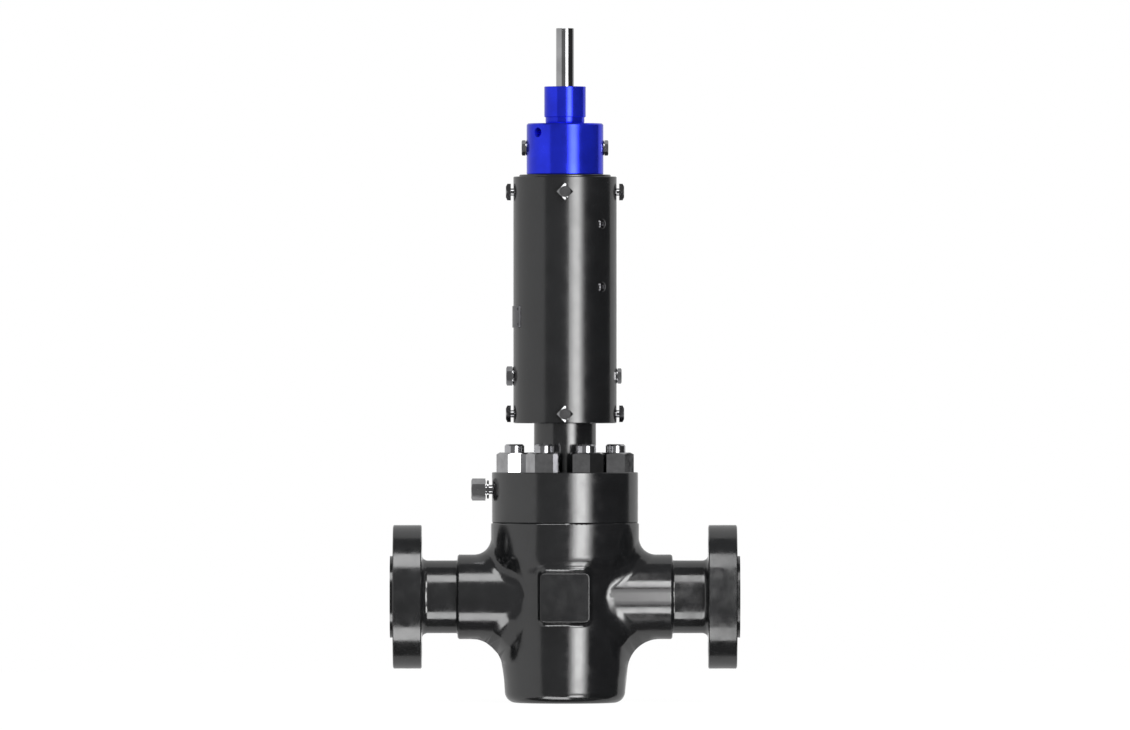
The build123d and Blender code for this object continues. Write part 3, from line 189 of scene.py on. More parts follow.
class GateValveSizes(bpy.types.PropertyGroup):
    ring_steps: IntProperty(
        name="Ring steps", description="Sides of a small turned piece", default=72, min=16, max=256
    )
    smooth_angle: FloatProperty(
        name="Smooth angle", description="Edges flatter than this are shaded smooth",
        default=math.radians(28), subtype="ANGLE"
    )
    nut_across_flats: length("Nut across flats", "Width of a bonnet nut over its flats", 0.0508)
    foot_radius: length("Foot radius", "Radius of the barrel above its rounded heel", 0.0973)
    heel_height: length("Heel height", "Height of the barrel's rounded heel", 0.018)
    belly_radius: length("Belly radius", "Radius of the barrel under the ports", 0.1013)
    belly_drop: length("Belly drop", "How far the belly lies under the ports' axis", 0.114)
    waist_radius: length("Waist radius", "Radius of the barrel just above the ports' axis", 0.104)
    waist_rise: length("Waist rise", "Height of the waist over the ports' axis", 0.017)
    hub_height: length("Hub height", "Height of the oval port hubs", 0.1368)
    hub_root_depth: length("Hub root depth", "Depth of a port hub on the valve's axis", 0.172)
    hub_end_depth: length("Hub end depth", "Depth of a port hub at its outer end", 0.142)
    hub_reach: length("Hub reach", "Distance of a hub's outer end from the valve's axis", 0.1735)
    stud_diameter: length("Stud diameter", "Diameter of a bonnet stud", 0.03175)
    stud_chamfer: length("Stud chamfer", "Chamfer at the ends of a stud", 0.0025)
    screw_diameter: length("Set screw diameter", "Shank of a square-head set screw", 0.012)
    screw_across_flats: length("Set screw across flats", "Width of a square screw head", 0.019)
    screw_head_thickness: length("Set screw head", "Thickness of a square screw head", 0.008)
    head_plug_across_flats: length("Bleed plug across flats", "Width of a bleed plug's hexagon", 0.0215)
    left_plug_across_flats: length("Large plug across flats", "Width of the left housing plug", 0.027)
    right_plug_across_flats: length("Small plug across flats", "Width of the right housing plug", 0.0215)
    washer_thickness: length("Washer thickness", "Thickness of the plug washers", 0.0014)
    cap_across_flats: length("Grease cap across flats", "Width of the grease fitting's cap", 0.031)
    button_diameter: length("Button head", "Diameter of an accessory screw's head", 0.017)
    button_height: length("Button height", "Height of an accessory screw's head", 0.0044)
    rivet_diameter: length("Rivet head", "Diameter of a nameplate rivet's head", 0.005)
    plate_corner: length("Plate corner", "Corner radius of the nameplate", 0.003)


class GateValveColours(bpy.types.PropertyGroup):
    black: colour("Black coat", "Satin black coat on the forged parts", (0.01, 0.0104, 0.0112))
    tube_black: colour("Tube black", "Satin black coat on the housing", (0.009, 0.0094, 0.0101))
    blue: colour("Blue coat", "Blue coat on the cylinder", (0.022, 0.04, 0.85))
    plating: colour("Plating", "Bright plating on the nuts", (0.5, 0.5, 0.51))
    stud_steel: colour("Stud steel", "Plated studs", (0.62, 0.62, 0.64))
    fastener_steel: colour("Fastener steel", "Small screws and plugs", (0.4, 0.4, 0.41))
    chrome: colour("Chrome", "Polished rods", (0.54, 0.54, 0.55))
    bronze: colour("Bronze", "Bushes", (0.62, 0.42, 0.18))


class GateValveStudio(bpy.types.PropertyGroup):
    floor_size: length("Floor size", "Side of the square floor", 5.0)
    wall_radius: length("Wall radius", "Distance of the dim studio wall", 4.4)
    wall_height: length(
        "Wall height", "Height of the dim studio wall over the floor, and its depth under it", 4.2
    )
    strip_strength: FloatProperty(
        name="Strip", description="Brightness of the front right window", default=5.5
    )
    top_strength: FloatProperty(name="Top", description="Brightness of the ceiling panel", default=4.0)
    floor_white: share("Floor white", "Share of plain white in the floor as the camera sees it", 0.84)
    floor_mirror: share("Floor through glass", "Share of plain white in the floor as glass shows it", 0.15)


def sizes():
    return bpy.context.scene.gate_valve_sizes


def colours():
    return bpy.context.scene.gate_valve_colours


def studio():
    return bpy.context.scene.gate_valve_studio


def clear_bench():
    """Leaves edit mode and deselects everything, so that the next tool works on its own piece only."""
    if bpy.context.object and bpy.context.object.mode != "OBJECT":
        bpy.ops.object.mode_set(mode="OBJECT")
    bpy.ops.object.select_all(action="DESELECT")


def middle(low, high):
    """Height of the middle of a box."""
    return (low.z + high.z) / 2


def port_axis():
    """Height of the axis through both ports."""
    return middle(*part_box("seat_ring_left"))


def arc(width, height, angles):
    """Points of an oval at angles in degrees: a dome's outline, or places round a circle."""
    return [
        (width * math.cos(math.radians(angle)), height * math.sin(math.radians(angle))) for angle in angles
    ]


def take(piece):
    """Makes a piece the only one selected."""
    clear_bench()
    piece.select_set(True)
    bpy.context.view_layer.objects.active = piece
    return piece


def settle(piece):
    """Puts the piece's place into its mesh."""
    take(piece)
    bpy.ops.object.transform_apply(location=True, rotation=True, scale=True)
    return piece


def carve(piece, cutter, operation):
    """Cuts, trims or joins a piece with another one, which is used up."""
    take(piece)
    step = piece.modifiers.new("Carve", "BOOLEAN")
    step.object = cutter
    step.operation = operation
    step.solver = "EXACT"
    bpy.ops.object.modifier_apply(modifier=step.name)
    bpy.data.objects.remove(cutter)
    return piece


def close_end():
    """Fills the open ring that is left on a turned piece."""
    bpy.ops.mesh.select_all(action="DESELECT")
    bpy.ops.mesh.select_non_manifold(
        extend=False, use_wire=False, use_boundary=True, use_multi_face=False,
        use_non_contiguous=False, use_verts=False
    )
    bpy.ops.mesh.edge_face_add()


def turned(name, outline, ring=False, steps=0):
    """A piece turned about +Z from stops of (radius, height); a ring ends where it starts."""
    clear_bench()
    radius, height = outline[0]
    bpy.ops.mesh.primitive_circle_add(
        vertices=steps or sizes().ring_steps, radius=radius, fill_type="NOTHING", location=(0, 0, height)
    )
    piece = settle(bpy.context.object)
    piece.name = name
    bpy.ops.object.mode_set(mode="EDIT")
    bpy.ops.mesh.select_all(action="SELECT")
    stops = outline[1:] + ([outline[0]] if ring else [])
    for next_radius, next_height in stops:
        bpy.ops.mesh.extrude_region_move(
            TRANSFORM_OT_translate={"value": (0, 0, next_height - height)}
        )
        growth = next_radius / radius
        bpy.ops.transform.resize(value=(growth, growth, 1), center_override=(0, 0, next_height))
        radius, height = next_radius, next_height
    if ring:
        bpy.ops.mesh.select_all(action="SELECT")
        bpy.ops.mesh.remove_doubles(threshold=1e-6)
    else:
        bpy.ops.mesh.edge_face_add()
        close_end()
    bpy.ops.mesh.select_all(action="SELECT")
    bpy.ops.mesh.normals_make_consistent(inside=False)
    bpy.ops.object.mode_set(mode="OBJECT")
    return piece


def prism(name, sides, across_flats, bottom, top, turn=0.0):
    """A bar with flat sides on +Z, a corner on +X before it is turned."""
    clear_bench()
    corner = across_flats / 2 / math.cos(math.pi / sides)
    bpy.ops.mesh.primitive_cylinder_add(
        vertices=sides, radius=corner, depth=top - bottom, location=(0, 0, (bottom + top) / 2),
        rotation=(0, 0, turn - math.pi / 2)
    )
    piece = settle(bpy.context.object)
    piece.name = name
    return piece


def head_outline(across_flats, sides, bottom, top, face=0.0):
    """Outline that slopes the corners of a head, with a round face under it where face is given."""
    flat = across_flats / 2 * FLAT_SHARE
    reach = across_flats / 2 / math.cos(math.pi / sides) + TRIM_ROOM
    if face:
        outline = [(flat, bottom), (flat, bottom + face), (reach, bottom + face + FACE_SLOPE)]
    else:
        outline = [(reach, bottom - TRIM_ROOM)]
    return outline + [(reach, top - (reach - flat) * TRIM_SLOPE), (flat, top)]


def trimmed_head(name, sides, across_flats, bottom, top, face=0.0, bore=0.0, turn=0.0):
    """A hexagon or square head with its corners sloped down, bored and countersunk if bore is given."""
    piece = prism(name, sides, across_flats, bottom, top, turn)
    outline = head_outline(across_flats, sides, bottom, top, face)
    if bore:
        lead = bore * COUNTERSINK_SHARE
        outline = [(bore, outline[0][1])] + outline + [(bore + lead, top), (bore, top - lead)]
    return carve(piece, turned("trim", outline, ring=bool(bore)), "INTERSECT")


def upright(turn, x, y, z):
    """Stands a piece at a place, turned about +Z."""
    return Matrix.Translation((x, y, z)) @ Matrix.Rotation(turn, 4, "Z")


def outward(angle, radius, height):
    """Points a piece's +Z outwards at an angle round the valve, its +Y upwards."""
    turn = math.radians(angle)
    side = Vector((-math.sin(turn), math.cos(turn), 0))
    out = Vector((math.cos(turn), math.sin(turn), 0))
    place = Matrix((side, Vector((0, 0, 1)), out)).transposed().to_4x4()
    place.translation = out * radius + Vector((0, 0, height))
    return place


def set_out(model, name, places):
    """Copies a finished model to each place, each copy with its own mesh, and joins them as one piece."""
    copies = []
    for place in places:
        copy = bpy.data.objects.new(name, model.data.copy())
        bpy.context.scene.collection.objects.link(copy)
        copy.matrix_world = place
        copies.append(settle(copy))
    bpy.data.objects.remove(model)
    clear_bench()
    for copy in copies:
        copy.select_set(True)
    bpy.context.view_layer.objects.active = copies[0]
    if len(copies) > 1:
        bpy.ops.object.join()
    joined = bpy.context.object
    joined.name = name
    return joined


def dress(piece, finish, body, slot, *nodes):
    """Gives a finished piece its material and its body, and hides the nodes it stands for; the slot is not
    used.
    """
    take(piece)
    bpy.ops.object.shade_smooth_by_angle(angle=sizes().smooth_angle)
    weigh = piece.modifiers.new("Weigh", "WEIGHTED_NORMAL")
    weigh.keep_sharp = True
    weigh.mode = "FACE_AREA"
    bpy.ops.object.modifier_apply(modifier=weigh.name)
    piece.data.materials.clear()
    piece.data.materials.append(bpy.data.materials[finish])
    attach(piece, body)
    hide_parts(*nodes)
    return piece


def merged_shell(node, name):
    """A copy of a node's mesh with its loose triangles merged into one surface."""
    shell = bpy.data.objects.new(name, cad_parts[node].data.copy())
    bpy.context.scene.collection.objects.link(shell)
    take(shell)
    bpy.ops.mesh.customdata_custom_splitnormals_clear()
    bpy.ops.object.mode_set(mode="EDIT")
    bpy.ops.mesh.select_all(action="SELECT")
    bpy.ops.mesh.remove_doubles(threshold=2e-6)
    bpy.ops.mesh.tris_convert_to_quads(face_threshold=math.radians(1.2), shape_threshold=math.pi)
    bpy.ops.mesh.normals_make_consistent(inside=False)
    bpy.ops.object.mode_set(mode="OBJECT")
    return shell


def steady(shell, guide):
    """Takes the shading of a clean guide surface wherever the shell lies on it; the guide is used up."""
    take(guide)
    bpy.ops.object.shade_smooth_by_angle(angle=sizes().smooth_angle)
    take(shell)
    step = shell.modifiers.new("Steady", "DATA_TRANSFER")
    step.object = guide
    step.use_loop_data = True
    step.data_types_loops = {"CUSTOM_NORMAL"}
    step.loop_mapping = "POLYINTERP_NEAREST"
    step.use_max_distance = True
    step.max_distance = GUIDE_REACH
    bpy.ops.object.modifier_apply(modifier=step.name)
    bpy.data.objects.remove(guide)


class Finish:
    """A material under construction, with its texture nodes on the piece's own coordinates."""

    def __init__(self, name):
        self.material = bpy.data.materials.new(name)
        self.material.use_nodes = True
        self.tree = self.material.node_tree
        self.shader = self.tree.nodes["Principled BSDF"]
        self.place = self.tree.nodes.new("ShaderNodeTexCoord").outputs["Object"]

    def set(self, **values):
        for socket, value in values.items():
            self.shader.inputs[socket].default_value = value

    def noise(self, scale, detail, stretch=(1.0, 1.0, 1.0)):
        """A noise on the piece, finer along an axis with a larger stretch."""
        mapping = self.tree.nodes.new("ShaderNodeMapping")
        mapping.inputs["Scale"].default_value = stretch
        grain = self.tree.nodes.new("ShaderNodeTexNoise")
        grain.inputs["Scale"].default_value = scale
        grain.inputs["Detail"].default_value = detail
        self.tree.links.new(self.place, mapping.inputs["Vector"])
        self.tree.links.new(mapping.outputs["Vector"], grain.inputs["Vector"])
        return grain.outputs["Fac"]

    def spread(self, value, low, high):
        """Stretches a noise between two values."""
        reach = self.tree.nodes.new("ShaderNodeMapRange")
        reach.inputs["From Min"].default_value, reach.inputs["From Max"].default_value = NOISE_SPAN
        reach.inputs["To Min"].default_value = low
        reach.inputs["To Max"].default_value = high
        self.tree.links.new(value, reach.inputs["Value"])
        return reach.outputs["Result"]

    def mix(self, value, first, second):
        """A colour between two."""
        blend = self.tree.nodes.new("ShaderNodeMix")
        blend.data_type = "RGBA"
        self.tree.links.new(value, blend.inputs["Factor"])
        blend.inputs["A"].default_value = (*first, 1.0)
        blend.inputs["B"].default_value = (*second, 1.0)
        return blend.outputs["Result"]

    def colour(self, value):
        self.tree.links.new(value, self.shader.inputs["Base Color"])

    def roughness(self, value):
        self.tree.links.new(value, self.shader.inputs["Roughness"])

    def bump(self, *layers):
        """Layers of (height, depth in metres), one on another."""
        below = None
        for height, depth in layers:
            relief = self.tree.nodes.new("ShaderNodeBump")
            relief.inputs["Distance"].default_value = depth
            self.tree.links.new(height, relief.inputs["Height"])
            if below:
                self.tree.links.new(below, relief.inputs["Normal"])
            below = relief.outputs["Normal"]
        self.tree.links.new(below, self.shader.inputs["Normal"])


def tones(base, low, high):
    """A darker and a lighter tone of a colour."""
    return tuple(part * low for part in base), tuple(part * high for part in base)


def paint(name, base, index, rough, mottle, grain, depth, stretch=(1.0, 1.0, 1.0)):
    """A coat of paint: cloudy colour and gloss over a fine skin."""
    coat = Finish(name)
    coat.set(IOR=index)
    clouds = coat.noise(mottle, 5.0)
    dark, light = tones(base, *PAINT_TONES)
    coat.colour(coat.mix(coat.spread(clouds, 0.0, 1.0), dark, light))
    patches = coat.noise(mottle * 2.6, 4.0)
    coat.roughness(coat.spread(patches, rough[0], rough[1]))
    coat.bump((coat.noise(grain, 2.0, stretch), depth), (coat.noise(grain * 6, 2.0), depth / 5))
    return coat


def metal(name, base, rough, cloud, grain, depth, stretch=(1.0, 1.0, 1.0)):
    """A bare or plated metal: cloudy tone, tool marks along stretch."""
    bare = Finish(name)
    bare.set(Metallic=1.0)
    dark, light = tones(base, *METAL_TONES)
    bare.colour(bare.mix(bare.spread(bare.noise(cloud, 4.0), 0.0, 1.0), dark, light))
    bare.roughness(bare.spread(bare.noise(cloud * 1.7, 4.0), rough[0], rough[1]))
    bare.bump((bare.noise(grain, 2.0, stretch), depth))
    return bare


class GATEVALVE_OT_finishes(bpy.types.Operator):
    """Mix the paints, platings and bare metals"""

    bl_idname = "gate_valve.finishes"
    bl_label = "Finishes"

    def execute(self, context):
        tone = colours()
        paint("black_forging", tone.black, 1.88, (0.11, 0.22), 22.0, 260.0, 0.000012)
        paint("black_tube", tone.tube_black, 1.82, (0.16, 0.24), 14.0, 240.0, 0.000006, (1.0, 1.0, 4.0))
        paint("blue_enamel", tone.blue, 1.5, (0.14, 0.2), 18.0, 200.0, 0.000004).set(Metallic=0.74)
        metal("bright_plating", tone.plating, (0.06, 0.12), 70.0, 900.0, 0.000003)
        metal("stud_plating", tone.stud_steel, (0.12, 0.2), 60.0, 700.0, 0.000004, (0.4, 0.4, 3.0))
        metal("dull_steel", tone.fastener_steel, (0.08, 0.15), 90.0, 800.0, 0.000003)
        metal("black_oxide", (0.1, 0.1, 0.105), (0.12, 0.2), 90.0, 800.0, 0.000004)
        metal("hard_chrome", tone.chrome, (0.05, 0.09), 30.0, 900.0, 0.000001, (1.0, 1.0, 2.5))
        metal("turned_steel", (0.56, 0.56, 0.57), (0.22, 0.34), 40.0, 600.0, 0.000008, (0.1, 0.1, 4.0))
        metal("lapped_facing", (0.44, 0.44, 0.46), (0.12, 0.2), 50.0, 900.0, 0.000003)
        metal("phosphated_wire", (0.09, 0.09, 0.1), (0.4, 0.55), 60.0, 700.0, 0.00001)
        metal("bearing_bronze", tone.bronze, (0.25, 0.36), 50.0, 700.0, 0.000008, (0.1, 0.1, 4.0))
        metal("plate_sheet", (0.16, 0.16, 0.17), (0.3, 0.4), 60.0, 900.0, 0.000005, (1.0, 1.0, 8.0))
        paint("black_rubber", (0.02, 0.02, 0.021), 1.5, (0.45, 0.6), 80.0, 700.0, 0.00001)
        paint("packing_weave", (0.7, 0.67, 0.58), 1.45, (0.5, 0.7), 120.0, 900.0, 0.00003)
        return {"FINISHED"}


class GATEVALVE_OT_inner_parts(bpy.types.Operator):
    """Finish the parts inside the valve, which keep the frame's own meshes"""

    bl_idname = "gate_valve.inner_parts"
    bl_label = "Inner Parts"

    def execute(self, context):
        for node, finish in INNER_FINISHES.items():
            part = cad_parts[node]
            if not part.material_slots:
                part.data.materials.append(bpy.data.materials[finish])
            for slot in part.material_slots:
                slot.material = bpy.data.materials[finish]
        return {"FINISHED"}


class GATEVALVE_OT_shells(bpy.types.Operator):
    """Smooth and paint the forging, bonnet, housing, lid, cylinder and crown"""

    bl_idname = "gate_valve.shells"
    bl_label = "Painted Shells"

    def execute(self, context):
        for node, (name, finish, slot) in SHELLS.items():
            dress(merged_shell(node, name), finish, "valve", slot, node)
        forging = bpy.data.objects["forging"]
        size = sizes()
        axis = port_axis()
        out, up = GUIDE_FLARE
        steady(forging, turned("barrel_guide", [
            (size.foot_radius, size.heel_height / 3), (size.foot_radius, size.heel_height),
            (size.belly_radius, axis - size.belly_drop), (size.waist_radius, axis + size.waist_rise),
            (size.waist_radius + out, axis + size.waist_rise + up),
        ], steps=GUIDE_STEPS))
        for side in (-1, 1):
            steady(forging, self.hub_guide(side, axis))
        return {"FINISHED"}

    def hub_guide(self, side, axis):
        """A clean copy of a port hub's side: an oval that gets shallower outwards."""
        size = sizes()
        taper = (size.hub_end_depth - size.hub_root_depth) / size.hub_reach
        start, end = (size.hub_reach * part for part in HUB_GUIDE_SPAN)
        depths = [size.hub_root_depth + taper * reach for reach in (start, end)]
        clear_bench()
        bpy.ops.mesh.primitive_circle_add(
            vertices=GUIDE_STEPS, radius=0.5, fill_type="NOTHING", location=(side * start, 0, axis),
            rotation=(0, math.pi / 2, 0)
        )
        guide = bpy.context.object
        guide.scale = (size.hub_height, depths[0], 1.0)
        settle(guide)
        bpy.ops.object.mode_set(mode="EDIT")
        bpy.ops.mesh.select_all(action="SELECT")
        bpy.ops.mesh.extrude_region_move(TRANSFORM_OT_translate={"value": (side * (end - start), 0, 0)})
        bpy.ops.transform.resize(value=(1, depths[1] / depths[0], 1), center_override=(side * end, 0, axis))
        bpy.ops.mesh.edge_face_add()
        close_end()
        bpy.ops.mesh.select_all(action="SELECT")
        bpy.ops.mesh.normals_make_consistent(inside=False)
        bpy.ops.object.mode_set(mode="OBJECT")
        return guide


class GATEVALVE_OT_bonnet_bolting(bpy.types.Operator):
    """Make the bonnet's eight studs and their heavy nuts, each left as it was tightened"""

    bl_idname = "gate_valve.bonnet_bolting"
    bl_label = "Bonnet Studs and Nuts"

    def execute(self, context):
        size = sizes()
        stud_low, stud_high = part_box("bonnet_studs")
        nut_low, nut_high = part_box("bonnet_nuts")
        radius = size.stud_diameter / 2
        cut = size.stud_chamfer
        circle = (stud_high.x - radius) / math.cos(math.radians(STUD_ANGLES[0]))
        seats = arc(circle, circle, STUD_ANGLES)
        stud = turned("stud", [
            (radius - cut, stud_low.z), (radius, stud_low.z + cut), (radius, stud_high.z - cut),
            (radius - cut, stud_high.z), (CENTRE_RADIUS, stud_high.z),
            (CENTRE_TIP, stud_high.z - CENTRE_DEPTH),
        ])
        studs = set_out(stud, "studs", [upright(0.0, x, y, 0.0) for x, y in seats])
        dress(studs, "stud_plating", "valve", "stud_steel", "bonnet_studs")
        height = nut_high.z - nut_low.z
        nut = trimmed_head("nut", 6, size.nut_across_flats, 0.0, height, bore=radius + NUT_CLEARANCE)
        nuts = set_out(nut, "heavy_nuts", [
            upright(math.radians(turn), x, y, nut_low.z) for (x, y), turn in zip(seats, NUT_TURNS)
        ])
        dress(nuts, "bright_plating", "valve", "plated_nut", "bonnet_nuts")
        return {"FINISHED"}


class GATEVALVE_OT_set_screws(bpy.types.Operator):
    """Make the two rows of square-head set screws that hold the housing"""

    bl_idname = "gate_valve.set_screws"
    bl_label = "Set Screws"

    def execute(self, context):
        size = sizes()
        for node in ("lower_set_screws", "upper_set_screws"):
            low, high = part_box(node)
            head = high.x - size.screw_head_thickness
            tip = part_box("top_plate")[1].x - SCREW_ENGAGEMENT
            shank_radius = size.screw_diameter / 2
            screw = turned("screw", [
                (shank_radius - SCREW_TIP_CHAMFER, tip), (shank_radius, tip + SCREW_TIP_CHAMFER),
                (shank_radius, head + SCREW_OVERLAP),
            ])
            square = trimmed_head("square", 4, size.screw_across_flats, head, high.x)
            carve(square, screw, "UNION")
            places = [outward(angle, 0.0, middle(low, high)) for angle in (0, 90, 180, 270)]
            row = set_out(square, "square_" + node, places)
            dress(row, "dull_steel", "valve", "fastener_steel", node)
        return {"FINISHED"}


class GATEVALVE_OT_plugs(bpy.types.Operator):
    """Make the bleed plugs, the housing plugs and the washers under them"""

    bl_idname = "gate_valve.plugs"
    bl_label = "Plugs and Washers"

    def execute(self, context):
        size = sizes()
        thick = size.washer_thickness
        head_low, head_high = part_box("cylinder_head")
        head_radius = (head_high.y - head_low.y) / 2
        tube_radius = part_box("housing")[1].x
        bleed, left, right = (
            size.head_plug_across_flats, size.left_plug_across_flats, size.right_plug_across_flats
        )
        plugs = (
            ("head_plug_left", "bleed_plug_left", 180, head_radius, bleed, BLEED_SHANK),
            ("head_plug_right", "bleed_plug_right", 0, head_radius, bleed, BLEED_SHANK),
            ("housing_plug_left", "tube_plug_left", 180, tube_radius, left, LEFT_TUBE_SHANK),
            ("housing_plug_right", "tube_plug_right", 0, tube_radius, right, RIGHT_TUBE_SHANK),
        )
        washer_rings = {"head": [], "housing": []}
        for node, name, angle, radius, across_flats, (shank_radius, shank) in plugs:
            low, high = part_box(node)
            place = outward(angle, radius, middle(low, high))
            outer = max(abs(low.x), abs(high.x)) - radius
            head = trimmed_head(name, 6, across_flats, thick, outer, face=FACE_RISE, turn=CORNER_UP)
            thread = turned("thread", [
                (shank_radius - SHANK_CHAMFER, -shank), (shank_radius, -shank + SHANK_CHAMFER),
                (shank_radius, thick + SHANK_OVERLAP),
            ])
            carve(head, thread, "UNION")
            plug = set_out(head, name, [place])
            dress(plug, "dull_steel", "valve", "fastener_steel", node)
            rim = across_flats / 2 + WASHER_MARGIN
            edge = thick / 5
            hole = shank_radius + WASHER_CLEARANCE
            washer = turned("washer", [
                (hole, 0.0), (rim - edge, 0.0), (rim, edge), (rim, thick - edge), (rim - edge, thick),
                (hole, thick),
            ], ring=True)
            washer_rings[node.split("_")[0]].append(set_out(washer, "washer", [place]))
        for group, rings in washer_rings.items():
            clear_bench()
            for ring in rings:
                ring.select_set(True)
            bpy.context.view_layer.objects.active = rings[0]
            bpy.ops.object.join()
            washers = bpy.context.object
            washers.name = group + "_washers"
            dress(washers, "dull_steel", "valve", "fastener_steel", group + "_plug_washers")
        return {"FINISHED"}


class GATEVALVE_OT_grease_point(bpy.types.Operator):
    """Make the grease fitting on the bonnet and its hexagon cap"""

    bl_idname = "gate_valve.grease_point"
    bl_label = "Grease Fitting"

    def execute(self, context):
        low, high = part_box("grease_fitting")
        cap_low, cap_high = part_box("grease_fitting_cap")
        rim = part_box("bonnet")[1].x
        place = outward(180, rim, middle(low, high))
        # Heights are outwards from the bonnet's rim
        inner = -low.x - rim
        foot = -cap_high.x - rim
        end = -cap_low.x - rim
        disc = (high.z - low.z) / 2
        disc_edge = 0.0007
        thread, neck = 0.009, 0.0075
        fitting = turned("fitting", [
            (thread - 0.001, -0.02), (thread, -0.019), (thread, 0.0), (neck, 0.0), (neck, 0.0048),
            (disc - disc_edge, 0.0048), (disc, 0.0055), (disc, 0.0074), (disc - disc_edge, 0.0081),
            (neck, 0.0081), (neck, inner - 0.0005), (neck - 0.0005, inner),
        ])
        fitting = set_out(fitting, "greaser", [place])
        dress(fitting, "dull_steel", "valve", "fastener_steel", "grease_fitting")
        across_flats = sizes().cap_across_flats
        hexagon = trimmed_head("hexagon", 6, across_flats, foot, end, face=FACE_RISE, turn=CORNER_UP)
        roof = 0.006
        bore = neck + 0.00005
        carve(hexagon, turned("hollow", [(bore, foot - 0.001), (bore, end - roof)]), "DIFFERENCE")
        cap = set_out(hexagon, "greaser_cap", [place])
        dress(cap, "bright_plating", "valve", "fastener_steel", "grease_fitting_cap")
        return {"FINISHED"}


class GATEVALVE_OT_button_screws(bpy.types.Operator):
    """Make the two button-head accessory screws with hexagon sockets"""

    bl_idname = "gate_valve.button_screws"
    bl_label = "Accessory Screws"

    def execute(self, context):
        size = sizes()
        low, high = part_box("accessory_screws")
        radius = size.button_diameter / 2
        top = size.button_height
        dome = arc(radius, top, (4, 15, 28, 40, 52, 63))
        shank = [(0.0034, -0.0094), (0.004, -0.0088), (0.004, 0.0)]
        screw = turned("button", shank + [(radius, 0.0)] + dome + [(radius * 0.4, top)])
        socket_depth = 0.0026
        socket = prism("socket", 6, 0.006, top - socket_depth, top + 0.001)
        carve(screw, socket, "DIFFERENCE")
        tube_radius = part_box("housing")[1].x
        heights = (high.z - radius, low.z + radius)
        pair = set_out(screw, "button_pair", [outward(315, tube_radius, height) for height in heights])
        dress(pair, "black_oxide", "valve", "fastener_steel", "accessory_screws")
        return {"FINISHED"}


class GATEVALVE_OT_plate(bpy.types.Operator):
    """Make the blank nameplate bent round the housing, and its four domed rivets"""

    bl_idname = "gate_valve.plate"
    bl_label = "Nameplate and Rivets"

    def execute(self, context):
        size = sizes()
        low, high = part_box("nameplate")
        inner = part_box("housing")[1].x
        outer = -low.x
        sheet = turned("blank_plate", [
            (inner, low.z), (outer - PLATE_EDGE, low.z), (outer, low.z + PLATE_EDGE),
            (outer, high.z - PLATE_EDGE), (outer - PLATE_EDGE, high.z), (inner, high.z),
        ], ring=True, steps=PLATE_STEPS)
        clear_bench()
        bpy.ops.mesh.primitive_cube_add(size=1.0, location=(-outer, 0, middle(low, high)))
        window = bpy.context.object
        window.scale = (outer, high.y - low.y, high.z - low.z)
        settle(window)
        corners = window.modifiers.new("Corners", "BEVEL")
        corners.width = size.plate_corner
        corners.segments = 5
        corners.limit_method = "NONE"
        bpy.ops.object.modifier_apply(modifier=corners.name)
        window.data.transform(Matrix.Translation((WINDOW_SHIFT, 0, 0)))
        carve(sheet, window, "INTERSECT")
        rivet_low, rivet_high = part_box("nameplate_rivets")
        head = size.rivet_diameter / 2
        shank = [(RIVET_SHANK_RADIUS, -RIVET_SHANK_LENGTH), (RIVET_SHANK_RADIUS, 0.0)]
        dome = arc(head, RIVET_HEIGHT, (3, 25, 48, 70, 86))
        rivet = turned("rivet", shank + [(head, 0.0)] + dome, steps=32)
        turn = PLATE_HALF_ARC - math.degrees(RIVET_INSET / outer)
        rows = (rivet_low.z + head, rivet_high.z - head)
        places = [outward(180 + side * turn, outer, row) for side in (-1, 1) for row in rows]
        rivets = set_out(rivet, "plate_rivets", places)
        dress(sheet, "plate_sheet", "valve", "plate_metal", "nameplate")
        dress(rivets, "black_oxide", "valve", "fastener_steel", "nameplate_rivets")
        return {"FINISHED"}


class GATEVALVE_OT_indicator(bpy.types.Operator):
    """Make the polished position indicator rod"""

    bl_idname = "gate_valve.indicator"
    bl_label = "Indicator Rod"

    def execute(self, context):
        low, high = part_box("indicator_rod")
        radius = high.x
        thread, chamfer, shoulder = 0.012, 0.001, 0.018
        rod = turned("position_rod", [
            (thread - chamfer, low.z), (thread, low.z + chamfer), (thread, low.z + shoulder),
            (radius - 0.0006, low.z + shoulder), (radius, low.z + shoulder + 0.0006),
            (radius, high.z - chamfer), (radius - 0.0003, high.z - 0.0003), (radius - chamfer, high.z),
            (0.0025, high.z), (0.0006, high.z - 0.002),
        ], steps=128)
        dress(rod, "hard_chrome", "gate_train", "polished_rod", "indicator_rod")
        return {"FINISHED"}


def glow(name, strength, hidden=False):
    """A material that only shines; one hidden under the floor isn't sampled as a light."""
    card = bpy.data.materials.new(name)
    card.use_nodes = True
    tree = card.node_tree
    tree.nodes.clear()
    light = tree.nodes.new("ShaderNodeEmission")
    light.inputs["Strength"].default_value = strength
    card.cycles.emission_sampling = "NONE" if hidden else "AUTO"
    sheet = tree.nodes.new("ShaderNodeOutputMaterial")
    tree.links.new(light.outputs["Emission"], sheet.inputs["Surface"])
    return card


